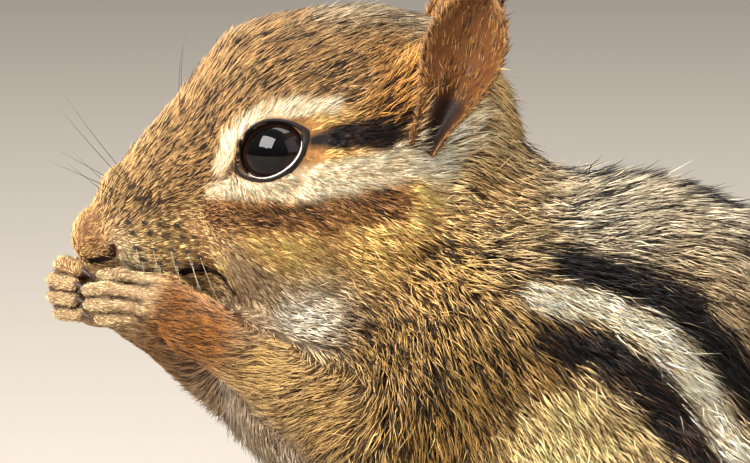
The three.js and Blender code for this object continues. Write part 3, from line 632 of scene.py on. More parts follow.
def ticks(low, high, coarse, *bands):
    """Places along one axis, closer together inside the bands, each (from, to, step)."""
    made = [low]
    while made[-1] < high:
        step = min([coarse] + [fine for start, end, fine in bands if start <= made[-1] < end])
        made.append(made[-1] + step)
    return np.array(made)


NET_BATCH = 200000


def surface_net(form, axes, block=4, reach=4.5):
    """Vertices and quads of a form's surface, with a vertex in each cell that it crosses."""
    shape = tuple(len(axis) for axis in axes)
    nodes = [(np.arange(n) // block).clip(0, (n - 1) // block) for n in shape]
    thin = [axis[::block] for axis in axes]
    coarse_points = np.stack(np.meshgrid(*thin, indexing="ij"), -1).reshape(-1, 3)
    coarse = form(coarse_points).reshape([len(axis) for axis in thin])
    values = coarse[np.ix_(*nodes)]
    near = np.argwhere(np.abs(values) < reach)
    places = np.stack([axis[near[:, d]] for d, axis in enumerate(axes)], -1)
    starts = range(0, len(places), NET_BATCH)
    exact = np.concatenate([form(places[s : s + NET_BATCH]) for s in starts])
    values[tuple(near.T)] = np.where(exact == 0, 1e-6, exact)

    inside = values < 0
    corners = np.array([(n & 1, (n >> 1) & 1, n >> 2) for n in range(8)])
    cell_shape = tuple(n - 1 for n in shape)
    count = np.zeros(cell_shape, np.int8)
    for a, b, c in corners:
        count += inside[a : a + cell_shape[0], b : b + cell_shape[1], c : c + cell_shape[2]]
    cells = np.argwhere((count > 0) & (count < 8))
    at_corner = np.stack([values[tuple((cells + corner).T)] for corner in corners], 1)
    total, crossings = np.zeros((len(cells), 3)), np.zeros(len(cells))
    for m in range(8):
        for n in range(m + 1, 8):
            if m ^ n not in (1, 2, 4):
                continue
            at_m, at_n = at_corner[:, m], at_corner[:, n]
            crossed = (at_m < 0) != (at_n < 0)
            t = np.where(crossed, at_m / np.where(crossed, at_m - at_n, 1), 0)
            start = np.stack([axis[cells[:, d] + corners[m][d]] for d, axis in enumerate(axes)], -1)
            end = np.stack([axis[cells[:, d] + corners[n][d]] for d, axis in enumerate(axes)], -1)
            total += crossed[:, None] * (start + t[:, None] * (end - start))
            crossings += crossed
    vertices = total / crossings[:, None]

    cell_vertex = np.full(cell_shape, -1, np.int64)
    cell_vertex[tuple(cells.T)] = np.arange(len(cells))
    quads = []
    for d in range(3):
        e, f = [(1, 2), (2, 0), (0, 1)][d]
        low = [slice(1, -1)] * 3
        high = list(low)
        low[d], high[d] = slice(0, -1), slice(1, None)
        a, b = inside[tuple(low)], inside[tuple(high)]
        start = np.argwhere(a != b)
        flips = a[tuple(start.T)]
        start[:, [e, f]] += 1
        back_e, back_f = np.eye(3, dtype=int)[e], np.eye(3, dtype=int)[f]
        ring = [start - back_e - back_f, start - back_f, start, start - back_e]
        quad = np.stack([cell_vertex[tuple(cell.T)] for cell in ring], 1)
        quads.append(np.where(flips[:, None], quad, quad[:, ::-1]))
    return vertices, np.concatenate(quads)


def eye_frame(side):
    """The eye's own axes: ahead along the lids, above across them, and out along the gaze."""
    out = unit(on_side(side, GAZE))
    tilt = math.radians(LID_TILT)
    ahead = np.array([-math.cos(tilt), 0, -math.sin(tilt)])
    ahead = unit(ahead - ahead @ out * out)
    above = np.cross(out, ahead) * (1 if side == RIGHT else -1)
    if above[2] < 0:
        above = -above
    return ahead, above, out


def eye_place(side, p):
    d = p - on_side(side, EYE_CENTRE)
    return np.stack([d @ axis for axis in eye_frame(side)], -1)


def lid_share(side, p, size, sharpness=1.0):
    """Under 1 inside an almond of this size round the eye, seen along the gaze."""
    local = eye_place(side, p)
    across = (np.abs(local[:, 1]) / size[1]) ** (1 / sharpness)
    return np.where(local[:, 2] > 0, np.hypot(local[:, 0] / size[0], across), 9.0)


NOSTRIL_LINE = [(10.9, 2.8, 47.0), (11.6, 3.2, 47.5), (12.1, 3.5, 48.3)]
MOUTH_LINE = [
    (8.7, 1.0, 46.0), (11.5, 2.9, 46.1), (14.0, 3.8, 45.9), (17.5, 5.2, 45.1), (20.8, 6.4, 43.5),
]
NOSTRIL_RADIUS, MOUTH_RADIUS = 0.5, 0.42
CUT_BLEND = 0.35  # how far the edges of the nostrils, mouth and sockets are rounded
FLOOR_GAP = 0.12  # between the floor and the lowest skin and hairs
nostril_laid = onto_surface(skin_level, np.array(NOSTRIL_LINE), rounds=8)
mouth_laid = onto_surface(skin_level, np.array(MOUTH_LINE), rounds=8)



def lid_swelling(side):
    socket, behind = on_side(side, EYE_CENTRE), on_side(side, (28.8, 8.2, 58.1))
    return rod(socket, EYE_RADIUS + 0.9, behind, EYE_RADIUS), 1.2


coat_form = melted((body, 1), lid_swelling(LEFT), lid_swelling(RIGHT))


def skin_form(p):
    level = coat_form(p) + coat_depth(p)
    places = mirrored(p)
    face = (p[:, 0] < 34) & (p[:, 2] > 40)
    where = places[face]
    if len(where):
        cut = NOSTRIL_RADIUS - line_distance(where, nostril_laid)[0]
        cut = np.maximum(cut, MOUTH_RADIUS - line_distance(where, mouth_laid)[0])
        socket = (1 - lid_share(RIGHT, where, LID_INNER)) * LID_INNER[1]
        cut = np.maximum(cut, socket)
        mixed = level[face]
        overlap = np.maximum(CUT_BLEND - np.abs(mixed - cut), 0) / CUT_BLEND
        level[face] = np.maximum(mixed, cut) + overlap * overlap * CUT_BLEND / 4
    beside = (np.abs(p[:, 0] - 43) < 4) & (p[:, 2] > 55)
    where = places[beside]
    if len(where):
        away, share = line_distance(where, CANAL_LINE)
        level[beside] = np.maximum(level[beside], 1.1 - 0.5 * share - away)
    return np.maximum(level, FLOOR_GAP - p[:, 2])


FINE, MIDDLE, COARSE = 0.45, 0.6, 0.85  # steps of the grid that the skin is drawn from
skin_axes = (
    ticks(1, 92, COARSE, (3, 33, FINE), (36, 50, MIDDLE)),
    ticks(-27, 27, COARSE, (-12, 12, FINE)),
    ticks(-1.5, 76, COARSE, (-1.5, 5.5, MIDDLE), (37, 66, FINE)),
)
skin_vertices, skin_quads = surface_net(skin_form, skin_axes)
skin_vertices = onto_surface(skin_form, skin_vertices, rounds=2, most=0.3)


# Materials


def new_material(name):
    material = bpy.data.materials.new(name)
    material.use_nodes = True
    tree = material.node_tree
    return material, tree, tree.nodes["Principled BSDF"]


def add_node(tree, kind, **sockets):
    node = tree.nodes.new(kind)
    for key, value in sockets.items():
        node.inputs[key.replace("_", " ")].default_value = value
    return node


def coloured_material(name, roughness, specular, noise_scale, noise_depth, bump):
    """Takes the colours from the mesh, markings and painted shade, and varies them finely with
    noise.
    """
    material, tree, shader = new_material(name)
    colour = tree.nodes.new("ShaderNodeVertexColor")
    colour.layer_name = "coat_colour"
    place = tree.nodes.new("ShaderNodeTexCoord")
    noise = add_node(tree, "ShaderNodeTexNoise", Scale=noise_scale, Detail=3.0)
    tree.links.new(place.outputs["Object"], noise.inputs["Vector"])
    level = add_node(tree, "ShaderNodeMapRange", From_Min=0.3, From_Max=0.7)
    level.inputs["To Min"].default_value = 1 - noise_depth
    level.inputs["To Max"].default_value = 1 + noise_depth
    tree.links.new(noise.outputs["Fac"], level.inputs["Value"])
    product = tree.nodes.new("ShaderNodeVectorMath")
    product.operation = "MULTIPLY"
    tree.links.new(colour.outputs["Color"], product.inputs[0])
    tree.links.new(level.outputs["Result"], product.inputs[1])
    tree.links.new(product.outputs["Vector"], shader.inputs["Base Color"])
    shader.inputs["Roughness"].default_value = roughness
    shader.inputs["Specular IOR Level"].default_value = specular
    if bump:
        relief = add_node(tree, "ShaderNodeBump", Strength=bump, Distance=0.0002)
        tree.links.new(noise.outputs["Fac"], relief.inputs["Height"])
        tree.links.new(relief.outputs["Normal"], shader.inputs["Normal"])
    return material


hair_material = coloured_material("hair", 0.5, 0.35, 900.0, 0.12, 0)
skin_material = coloured_material("skin", 0.8, 0.2, 2500.0, 0.25, 0.6)
bare_material = coloured_material("bare_skin", 0.55, 0.25, 3000.0, 0.15, 0.35)
horn_material = coloured_material("horn", 0.45, 0.35, 1500.0, 0.15, 0.1)
lid_material = coloured_material("lid_skin", 0.55, 0.25, 3000.0, 0.2, 0.35)
wet_material = coloured_material("wet_skin", 0.12, 0.7, 3000.0, 0.1, 0)
eye_material = coloured_material("eye_ball", 0.25, 0.0, 2200.0, 0.3, 0)
eye_shader = eye_material.node_tree.nodes["Principled BSDF"]
eye_shader.inputs["Coat Weight"].default_value = 0.5
eye_shader.inputs["Coat Roughness"].default_value = 0.015


def flat_colours(count, srgb):
    return np.tile(to_linear(srgb), (count, 1))


# The skin, one for all the flesh
skin_marks_and_shade = markings_and_painted_shade(skin_vertices)
skin_colours = skin_marks_and_shade[:, 7:10]
skin_places = mirrored(skin_vertices)
# Painted shade in the recesses: near black along the gap of the mouth line, and dark red in the
# nostrils, partly their inner skin
in_mouth = 1 - smooth(0.45, 0.7, line_distance(skin_places, mouth_laid)[0])
in_nostril = 1 - smooth(0.45, 0.75, line_distance(skin_places, nostril_laid)[0])
skin_colours = skin_colours + in_mouth[:, None] * (to_linear((0.10, 0.05, 0.04)) - skin_colours)
skin_colours = skin_colours + in_nostril[:, None] * (to_linear((0.22, 0.09, 0.06)) - skin_colours)
skin = make_mesh("skin", skin_vertices, skin_quads, skin_material, skin_colours)
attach(skin, "root")
FLESH = ["head", "neck", "torso"] + [
    f"{part}_{side}"
    for side in ("left", "right")
    for part in ("upper_arm", "forearm", "hand", "thigh", "shank", "hind_foot")
]
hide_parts(*FLESH)


# Eyes and lids


def build_eye(side):
    ahead, above, out = eye_frame(side)
    rows, columns = 40, 64
    away = np.linspace(0.001, math.pi - 0.001, rows)
    turn = np.linspace(0, 2 * math.pi, columns, endpoint=False)
    cornea = 1 + 0.03 * np.exp(-((away / 0.75) ** 4))
    ring = np.cos(turn)[None, :, None] * ahead + np.sin(turn)[None, :, None] * above
    out_part = np.cos(away)[:, None, None] * out
    vertices = EYE_RADIUS * cornea[:, None, None] * (out_part + np.sin(away)[:, None, None] * ring)
    vertices = vertices + on_side(side, EYE_CENTRE)
    pupil, iris = to_linear((0.012, 0.010, 0.012)), to_linear((0.10, 0.05, 0.03))
    share = smooth(0.55, 0.72, away) * (1 - smooth(0.95, 1.1, away))
    colours = np.repeat(pupil + share[:, None] * (iris - pupil), columns, 0)
    quads = wrapped(rows, columns)
    if side == RIGHT:
        quads = quads[:, ::-1]
    name = side_name(side)
    eye = make_mesh(f"eye_ball_{name}", vertices.reshape(-1, 3), quads, eye_material, colours)
    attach(eye, "root")
    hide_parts(f"eye_{name}")


def from_eye(side, flat, outwards):
    """Points over flat places of the eye's frame, each so far out along the gaze."""
    ahead, above, out = eye_frame(side)
    base = on_side(side, EYE_CENTRE) + flat[:, :1] * ahead + flat[:, 1:] * above
    return base + outwards[:, None] * out


def out_to_skin(side, flat, low=1.5, high=8.0):
    """How far out along the gaze the coat's skin lies over each place of the eye's frame."""
    lows, highs = np.full(len(flat), low), np.full(len(flat), high)
    for _ in range(14):
        middle = (lows + highs) / 2
        place = from_eye(side, flat, middle)
        within = coat_form(place) + coat_depth(place) < 0
        lows, highs = np.where(within, middle, lows), np.where(within, highs, middle)
    return lows


def build_lids(side):
    """The dark rims of both lids as one ring, drawn out to a point at each corner of the eye."""
    turns = np.linspace(0, 2 * math.pi, 120, endpoint=False)
    shares = np.linspace(0, 1, 15)
    c, s = np.cos(turns), np.sin(turns)
    sharp = np.abs(s) ** (LID_SHARPNESS - 1)
    outer = np.stack((LID_OUTER[0] * c, LID_OUTER[1] * s * sharp), -1)
    inner = np.stack(((LID_INNER[0] - 0.1) * c, (LID_INNER[1] - 0.1) * s), -1)
    ball = np.sqrt(np.maximum(0.5, (EYE_RADIUS * 1.02) ** 2 - (inner**2).sum(1))) + 0.02
    front, back = [], []
    for share in shares:
        flat = outer + share * (inner - outer)
        bulge = LID_HEIGHT * min(1, share / 0.2)
        height = out_to_skin(side, flat) - 0.12 + bulge
        height = height + smooth(0.45, 1.0, share) * (ball - height)
        front.append(from_eye(side, flat, height))
        back.append(from_eye(side, flat, height - LID_THICKNESS - bulge))
    rings = np.array(front + back[::-1])
    quads = wrapped(len(rings), len(turns), closed_rows=True)
    rim = np.concatenate((shares, shares[::-1]))
    dark, edge = to_linear((0.10, 0.065, 0.05)), to_linear((0.05, 0.035, 0.03))
    colours = np.repeat(dark + rim[:, None] * (edge - dark), len(turns), 0)
    if side == LEFT:
        quads = quads[:, ::-1]
    lower = np.linspace(-math.pi - 0.25, 0.3, 50)
    half_width, half_height = LID_INNER[0] - 0.02, LID_INNER[1] - 0.05
    flat = np.stack((half_width * np.cos(lower), half_height * np.sin(lower)), -1)
    height = np.sqrt((EYE_RADIUS * 1.02) ** 2 - (flat**2).sum(1)) + 0.10
    wet_radii = WET_RADIUS * np.sin(np.linspace(0.12, math.pi - 0.12, len(lower))) ** 0.5
    wet, wet_faces = tube(from_eye(side, flat, height), wet_radii, 8, up=eye_frame(side)[2])
    name = side_name(side)
    lids = make_mesh(f"lids_{name}", rings.reshape(-1, 3), quads, lid_material, colours)
    pale = flat_colours(len(wet), (0.80, 0.74, 0.70))
    tear = make_mesh(f"lid_edge_{name}", wet, wet_faces, wet_material, pale)
    for piece in (lids, tear):
        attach(piece, "root")


for side in (LEFT, RIGHT):
    build_eye(side)
    build_lids(side)


# Whiskers, and the dark spots that they grow from. Each row has the height of its roots, how far
# it points up, and its lengths from the front backwards
WHISKER_ROWS = [
    (50.6, 0.30, (6, 9, 12, 14)),
    (49.4, -0.05, (5, 8, 11, 13, 14)),
    (48.1, -1.3, (3, 4, 5, 6, 6)),
    (46.9, -1.8, (3, 4, 5, 5)),
]
WHISKER_STEP = 1.65  # along a row
WHISKER_RADIUS = 0.042
# Short dark hairs round the root of each whisker
FOLLICLE_HAIRS, FOLLICLE_LENGTH, FOLLICLE_RADIUS = 7, 0.85, 0.07
# Single long hairs: the root, the direction and the length
LONG_HAIRS = [
    ((17.0, 5.0, 62.5), (-0.08, 0.3, 0.95), 8),
    ((18.8, 5.8, 62.4), (0.1, 0.6, 0.8), 6),
    ((30.0, 12.0, 47.5), (0.3, 0.9, -0.4), 8),
    ((12.4, 2.8, 54.5), (-0.62, 0.35, 0.7), 13),
    ((11.9, 2.9, 53.2), (-0.8, 0.35, 0.42), 10),
    ((11.7, 2.9, 52.6), (-0.75, 0.4, 0.62), 8),
]


def whisker_roots():
    """The row, the place in the row, and the spot on the left side's pad of each whisker."""
    for row, (z, _, lengths) in enumerate(WHISKER_ROWS):
        for n in range(len(lengths)):
            yield row, n, (12.6 + WHISKER_STEP * n + 0.55 * row, 5.5, z - 0.16 * n)


spots = np.array([spot for _, _, spot in whisker_roots()], float)
follicles = onto_surface(skin_level, spots, 10, 1.0)


# The coat
HAIR_WIDTHS = ((0.0, 0.105), (2.0, 0.12), (5.0, 0.15), (12.0, 0.2))  # by the hair's length
NEEDLE_UNDER = 2.7  # a hair shorter than this has no bend
COVER = 6.0  # hairs over each place, as length times width
MOST_HAIRS = 34  # to a square millimetre
STRAY_SHARE = 0.025  # of the hairs, which stand out of the coat
CLUMP_SIZE = 9  # hairs
EAR_HAIRS, TAIL_HAIRS = 9000, 12000
TUFT_PATCH = 0.003  # of the texture map
PIECE_TRIANGLES = 185000
SPINE = np.array(
    [
        (7, 0, 49), (22, 0, 54), (36, 0, 57), (46, 0, 50),
        (56, 0, 38), (66, 0, 24), (72, 0, 10), (80, 0, 2),
    ]
)


def wavy(p, scale, seed):
    """Smooth noise from a few crossing waves, about -1 to 1."""
    waves = np.random.default_rng(seed)
    total = np.zeros(len(p))
    for _ in range(5):
        direction = unit(waves.normal(size=3)) * scale * waves.uniform(0.6, 1.6)
        total += np.sin(p @ direction + waves.uniform(0, 2 * math.pi))
    return total / 2.6


def hair_field(p, normals):
    """The lie in the skin's plane, the length and the lift in degrees of the hair at each place."""
    fields = guided(p, GUIDE_FIELDS)
    side = np.where(p[:, 1] < 0, LEFT, RIGHT) * smooth(0.0, 2.0, np.abs(p[:, 1]))
    lie = fields[:, :3] * np.stack((np.ones(len(p)), side, np.ones(len(p))), -1)
    for eye in (LEFT, RIGHT):
        local = eye_place(eye, p)
        reach = np.hypot(local[:, 0] / LID_OUTER[0], local[:, 1] / LID_OUTER[1])
        near = (1 - smooth(1.0, 2.0, reach)) * (local[:, 2] > 0)
        lie = unit(lie) + (1.1 * near)[:, None] * unit(p - on_side(eye, EYE_CENTRE))
    lie = in_plane(lie, normals)
    lengths = fields[:, 3]
    lifts = fields[:, 4] + 8 * (1 - smooth(0.8, 2.2, lengths))
    return turned(lie, normals, 7 * wavy(p, 0.35, 21)), lengths, lifts


def turned(lie, normals, degrees):
    angle = np.radians(degrees)[:, None]
    return np.cos(angle) * lie + np.sin(angle) * np.cross(normals, lie)


def spread_over(vertices, quads, per_area):
    """Random places on a mesh, with per_area(places) of them to a square millimetre."""
    triangles = halved(quads)
    corners = vertices[triangles]
    edges = corners[:, 1:] - corners[:, :1]
    areas = np.linalg.norm(np.cross(edges[:, 0], edges[:, 1]), axis=1) / 2
    counts = np.floor(areas * per_area(corners.mean(1)) + rng.random(len(areas))).astype(int)
    chosen = corners[np.repeat(np.arange(len(triangles)), counts)]
    a, b = rng.random((2, len(chosen), 1))
    fold = a + b > 1
    a, b = np.where(fold, 1 - a, a), np.where(fold, 1 - b, b)
    start = chosen[:, 0]
    return start + a * (chosen[:, 1] - start) + b * (chosen[:, 2] - start)


def clump_of(roots, size):
    """The index of the clump that each root belongs to, and the number of clumps."""
    centres = roots[rng.permutation(len(roots))[: max(1, len(roots) // size)]]
    tree = KDTree(len(centres))
    for n, centre in enumerate(centres):
        tree.insert(centre, n)
    tree.balance()
    return np.array([tree.find(root)[1] for root in roots]), len(centres)


ARM_ENDS = {LEFT: (9, 4, 43), RIGHT: (7, 2, 44)}
TILES = {  # left edge, low edge, width and height on the texture map
    "trunk": (0, 0.3, 1, 0.7),
    ("arm", LEFT): (0, 0, 0.24, 0.28),
    ("leg", LEFT): (0.25, 0, 0.24, 0.28),
    ("arm", RIGHT): (0.5, 0, 0.24, 0.28),
    ("leg", RIGHT): (0.75, 0, 0.24, 0.28),
}


def rods(*sizes):
    return melted(*((rod(*size), 1) for size in sizes))


def body_lines():
    """The middle line of the trunk and of each limb, with its form."""
    yield "trunk", SPINE, trunk
    for side in (LEFT, RIGHT):
        elbow, wrist = (ELBOW, WRIST) if side == LEFT else (FAR_ELBOW, FAR_WRIST)
        arm = [on_side(side, q) for q in (SHOULDER, elbow, wrist, ARM_ENDS[side])]
        leg = [on_side(side, q) for q in (HIP, KNEE, HEEL, BALL, BALL + (-9, 1, 0))]
        yield ("arm", side), np.array(arm), rods(
            (arm[0], 8.5, arm[1], 6), (arm[1], 5.8, arm[2], 3.1), (arm[2], 3, arm[3], 3)
        )
        yield ("leg", side), np.array(leg), rods(
            (leg[0], 12.5, leg[1], 7.6), (leg[1], 6.4, leg[2], 4), (leg[2], 3.1, leg[4], 3)
        )


def map_place(line, p, tile):
    """The share of the line's length and the angle round it, as a place on a tile of the map."""
    share = line_distance(p, line)[1]
    length = length_marks(line)[-1]
    foot, ahead = (along_line(line, share * length + step) for step in (0, 0.5))
    ahead = unit(ahead - foot + (1e-6, 0, 0))
    across = unit(np.cross(ahead, (0, 1, 0)) + (0, 0, 1e-6))
    aside = np.cross(ahead, across)
    away = p - foot
    angle = np.arctan2((away * aside).sum(1), (away * across).sum(1)) / (2 * math.pi) + 0.5
    left, low, wide, high = tile
    return np.stack((left + wide * (0.01 + 0.98 * share), low + high * (0.01 + 0.98 * angle)), -1)


def unwrapped(p):
    """Each place of the body on the texture map."""
    nearest, places = np.full(len(p), 1e9), np.zeros((len(p), 2))
    for name, line, form in body_lines():
        away = np.abs(form(p))
        closer = away < nearest
        nearest[closer] = away[closer]
        places[closer] = map_place(line, p[closer], TILES[name])
    return places


def grow(
    roots, lie, normals, lengths, lifts, colours, places,
    bends=1, sag=0.45, pull=0.3, clump_size=CLUMP_SIZE,
):
    """Hairs as closed, three-sided, tapered meshes, drawn together in clumps towards their tips.

    colours has a row of colours for each ring of the hairs, from root to tip. The result is the
    vertices of each hair, the faces of one hair, and the colours and map places of its vertices."""
    count = len(roots)
    clump, clumps = clump_of(roots, clump_size)
    shared = rng.normal(size=(3, clumps))[:, clump]
    lengths = lengths * np.clip(1 + 0.10 * shared[0] + 0.10 * rng.normal(size=count), 0.55, 1.3)
    lifts = lifts * np.clip(1 + 0.14 * shared[1] + 0.22 * rng.normal(size=count), 0.35, 1.9)
    stray = rng.random(count) < STRAY_SHARE
    lifts = np.where(stray, lifts * 1.6 + 6, lifts)
    frizz = 7 + 6 * smooth(1.5, 4.0, lengths) + 12 * stray
    lie = turned(lie, normals, 6 * shared[2] + frizz * rng.normal(size=count))
    widths = np.interp(lengths, *zip(*HAIR_WIDTHS)) * rng.uniform(0.8, 1.2, count)
    widths *= np.where(roots[:, 1] < 3, 1.0, 1.25)
    shares = np.linspace(0, 1, bends + 2)
    line = [roots - (0.03 + 0.03 * lengths)[:, None] * normals]
    for share in shares[1:]:
        lift = np.radians(lifts * (1 - sag * share))[:, None]
        towards = np.cos(lift) * lie + np.sin(lift) * normals
        line.append(line[-1] + lengths[:, None] / (bends + 1) * towards)
    line = np.array(line)
    middles = np.stack([np.bincount(clump, line[-1][:, d], clumps) for d in range(3)], -1)
    middles /= np.maximum(1, np.bincount(clump, minlength=clumps))[:, None]
    to_middle = middles[clump] - line[-1]
    curl = (rng.normal(size=count) * 0.06 * lengths)[:, None] * np.cross(normals, lie)
    if bends:
        line[1:-1] += curl
    strength = pull * np.clip(1 + 0.5 * shared[0], 0.1, 1.8) * ~stray
    for n, share in enumerate(shares[1:], 1):
        line[n] += (strength * share**1.5)[:, None] * to_middle
    line[:, :, 2] = np.maximum(line[:, :, 2], FLOOR_GAP)

    aside = np.cross(normals, lie)
    thick = {0: [1.0], 1: [0.65, 1.0], 2: [0.6, 1.0, 0.75]}[bends]
    rings, ring_colours, ring_places = [], [], []
    for n, share in enumerate(thick):
        half = (widths * share / 2)[:, None]
        for corner in range(3):
            angle = math.pi / 2 + corner * 2 * math.pi / 3
            outwards = math.cos(angle) * aside + 0.8 * math.sin(angle) * normals
            rings.append(line[n] + half * outwards)
            ring_colours.append(colours[n])
            on_patch = np.array((corner / 2 - 0.5, n / (bends + 1) - 0.5))
            ring_places.append(places + TUFT_PATCH * on_patch)
    vertices = np.stack(rings + [line[-1]], 1)
    ring_colours = np.stack(ring_colours + [colours[-1]], 1)
    ring_places = np.stack(ring_places + [places + TUFT_PATCH * np.array((0, 0.5))], 1)
    faces = [(0, 2, 1)]
    for a, b in ((0, 1), (1, 2), (2, 0)):
        for low in range(0, 3 * bends, 3):
            faces += [(low + a, low + b, low + 3 + b), (low + a, low + 3 + b, low + 3 + a)]
        faces.append((3 * bends + a, 3 * bends + b, 3 * bends + 3))
    return vertices, np.array(faces), ring_colours, ring_places


def add_hairs(name, grown):
    """Makes coat pieces of at most PIECE_TRIANGLES from grown hairs."""
    vertices, faces, colours, places = grown
    pieces = math.ceil(len(vertices) * len(faces) / PIECE_TRIANGLES)
    for n in range(pieces):
        part = slice(n * len(vertices) // pieces, (n + 1) * len(vertices) // pieces)
        hairs, each = vertices[part].shape[:2]
        every = faces[None] + (np.arange(hairs) * each)[:, None, None]
        piece = make_mesh(
            f"{name}_{n + 1}",
            vertices[part].reshape(-1, 3),
            every.reshape(-1, 3),
            hair_material,
            colours[part].reshape(-1, 3),
            places[part].reshape(-1, 2),
        )
        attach(piece, "root")


def hair_colours(p, lie, lengths, bends):
    """Colours for each ring of the hairs, from the markings and painted shade half way along them.
    """
    marks = markings_and_painted_shade(p + 0.5 * lengths[:, None] * lie)
    pale, dark, share, under = marks[:, :3], marks[:, 3:6], marks[:, 6], marks[:, 7:10]
    is_dark = rng.random(len(p)) < share * (1 + 0.25 * wavy(p, 1.7, 5))
    hair = np.where(is_dark[:, None], dark, pale) * np.exp(0.22 * rng.normal(size=len(p)))[:, None]
    places = mirrored(p)
    pad = np.flatnonzero((p[:, 0] < 26) & (p[:, 2] < 54))
    for spot in follicles:
        away = np.linalg.norm(places[pad] - spot, axis=1)
        hair[pad] *= 1 - 0.5 * (1 - smooth(0.2, 0.42, away))[:, None]
    # Roots darker than the skin: partly the dark underfur, partly painted shade deep in the coat
    root = under * 0.65 + hair * 0.15
    tip = np.minimum(hair * np.where(is_dark, 1.0, 1.18)[:, None], 0.85)
    return [0.15 * root + 0.85 * hair, tip] if bends == 0 else [root, hair, tip]


def hair_density(p):
    """Hairs to a square millimetre."""
    length = guided(p, GUIDE_FIELDS[:, 3:4])[:, 0]
    density = np.minimum(MOST_HAIRS, COVER / (length * np.interp(length, *zip(*HAIR_WIDTHS))))
    density *= np.where(p[:, 1] < 3, 1.0, 0.6) * (0.25 + 0.75 * smooth(0.1, 1.2, p[:, 2]))
    places = mirrored(p)
    for side in (LEFT, RIGHT):
        density *= smooth(0.93, 1.0, lid_share(side, p, LID_OUTER, LID_SHARPNESS))
    density *= smooth(MOUTH_RADIUS - 0.05, MOUTH_RADIUS + 0.2, line_distance(places, mouth_laid)[0])
    density *= smooth(NOSTRIL_RADIUS, NOSTRIL_RADIUS + 0.25, line_distance(places, nostril_laid)[0])
    return density * smooth(0.8, 1.3, line_distance(places, CANAL_LINE)[0])


def build_coat():
    roots = spread_over(skin_vertices, skin_quads, hair_density)
    normals = unit(slope(coat_form, roots))
    lie, lengths, lifts = hair_field(roots, normals)
    places = unwrapped(roots)
    for name, chosen, bends in (
        ("coat_short", lengths < NEEDLE_UNDER, 0),
        ("coat_long", lengths >= NEEDLE_UNDER, 1),
    ):
        p, n, d = roots[chosen], normals[chosen], lie[chosen]
        colours = hair_colours(p, d, lengths[chosen], bends)
        # Hairs that lie next to one another stay in one piece
        grown = grow(p, d, n, lengths[chosen], lifts[chosen], colours, places[chosen], bends)
        order = np.argsort(p[:, 0])
        add_hairs(name, (grown[0][order], grown[1], grown[2][order], grown[3][order]))


build_coat()


# Ears


def ear_surface(side, t, turn):
    """Places on the ear: t from root to tip, and turn round it, 0 to pi on the cup's side."""
    base, tip = on_side(side, EAR_BASE), on_side(side, EAR_TIP)
    along = tip - base
    facing = on_side(side, EAR_FACING)
    facing = unit(facing - facing @ along / (along @ along) * along)
    across = unit(np.cross(along, facing))
    across = across * np.sign(across[0])  # towards the rear rim
    s = np.cos(turn)
    up = np.clip((t - 0.66) / 0.34, 0, 1)
    half = np.where(t > 0.66, np.sqrt(1 - (0.985 * up) ** 2), 0.34 + 0.66 * smooth(0, 0.66, t))
    cup = EAR_CUP * np.sin(math.pi * (0.2 + 0.66 * t)) * (1 - s * s)
    fold = 0.75 * np.exp(-(((s + 0.45) / 0.22) ** 2))
    fold = fold * smooth(0.02, 0.2, t) * (1 - smooth(0.35, 0.6, t))
    fold += 0.35 * np.exp(-(((t - 0.50) / 0.035) ** 2)) * (1 - s * s)
    face = np.sin(turn)
    thick = EAR_THICKNESS * (1 - 0.35 * t) * np.sign(face) * np.abs(face) ** 0.55 / 2
    wave = 0.22 * np.sin(9 * t + 2.0) * np.abs(s) ** 3
    reach = -cup + np.where(face > 0, fold, 0) + thick + wave
    place = base + t[:, None] * along + (s * half * EAR_HALF_WIDTH)[:, None] * across
    return place + reach[:, None] * facing, s


def build_ear(side):
    rows, columns = 46, 64
    rise = 1 - (1 - np.linspace(0, 1, rows)) ** 1.4
    turn = np.linspace(0, 2 * math.pi, columns, endpoint=False)
    t, turns = grid(rise, turn)
    vertices, s = ear_surface(side, t, turns)
    inside = np.sin(turns) > 0
    quads = wrapped(rows, columns)
    ends = vertices.reshape(rows, columns, 3)[[0, -1]].mean(1)
    vertices = np.concatenate((vertices, ends))
    c = np.arange(columns)
    right = (c + 1) % columns
    low_cap = np.stack((np.full(columns, rows * columns), right, c), 1)
    last = (rows - 1) * columns
    high_cap = np.stack((np.full(columns, rows * columns + 1), last + c, last + right), 1)
    faces = np.concatenate((halved(quads), low_cap, high_cap))
    if side == RIGHT:
        faces = faces[:, ::-1]
    back, cup = to_linear((0.42, 0.27, 0.14)), to_linear((0.36, 0.21, 0.085))
    # Painted shade: the cup darkens towards the deep bowl at the ear's base, whose dark also
    # colours the cap there
    bowl_shade, rim = to_linear((0.115, 0.07, 0.05)), to_linear((0.58, 0.40, 0.22))
    colours = np.where(inside[:, None], cup, back)
    deep_shade = (1 - smooth(0.28, 0.46, t)) * (1 - np.abs(s) ** 2.5) * inside
    colours = colours + deep_shade[:, None] * (bowl_shade - colours)
    edge = smooth(0.86, 0.97, np.abs(s)) + smooth(0.95, 0.99, t)
    colours = colours + np.minimum(1, edge)[:, None] * 0.75 * (rim - colours)
    colours = np.concatenate((colours, [bowl_shade, rim]))
    name = side_name(side)
    ear = make_mesh(f"ear_flap_{name}", vertices, faces, bare_material, colours)
    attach(ear, "root")
    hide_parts(f"ear_{name}")


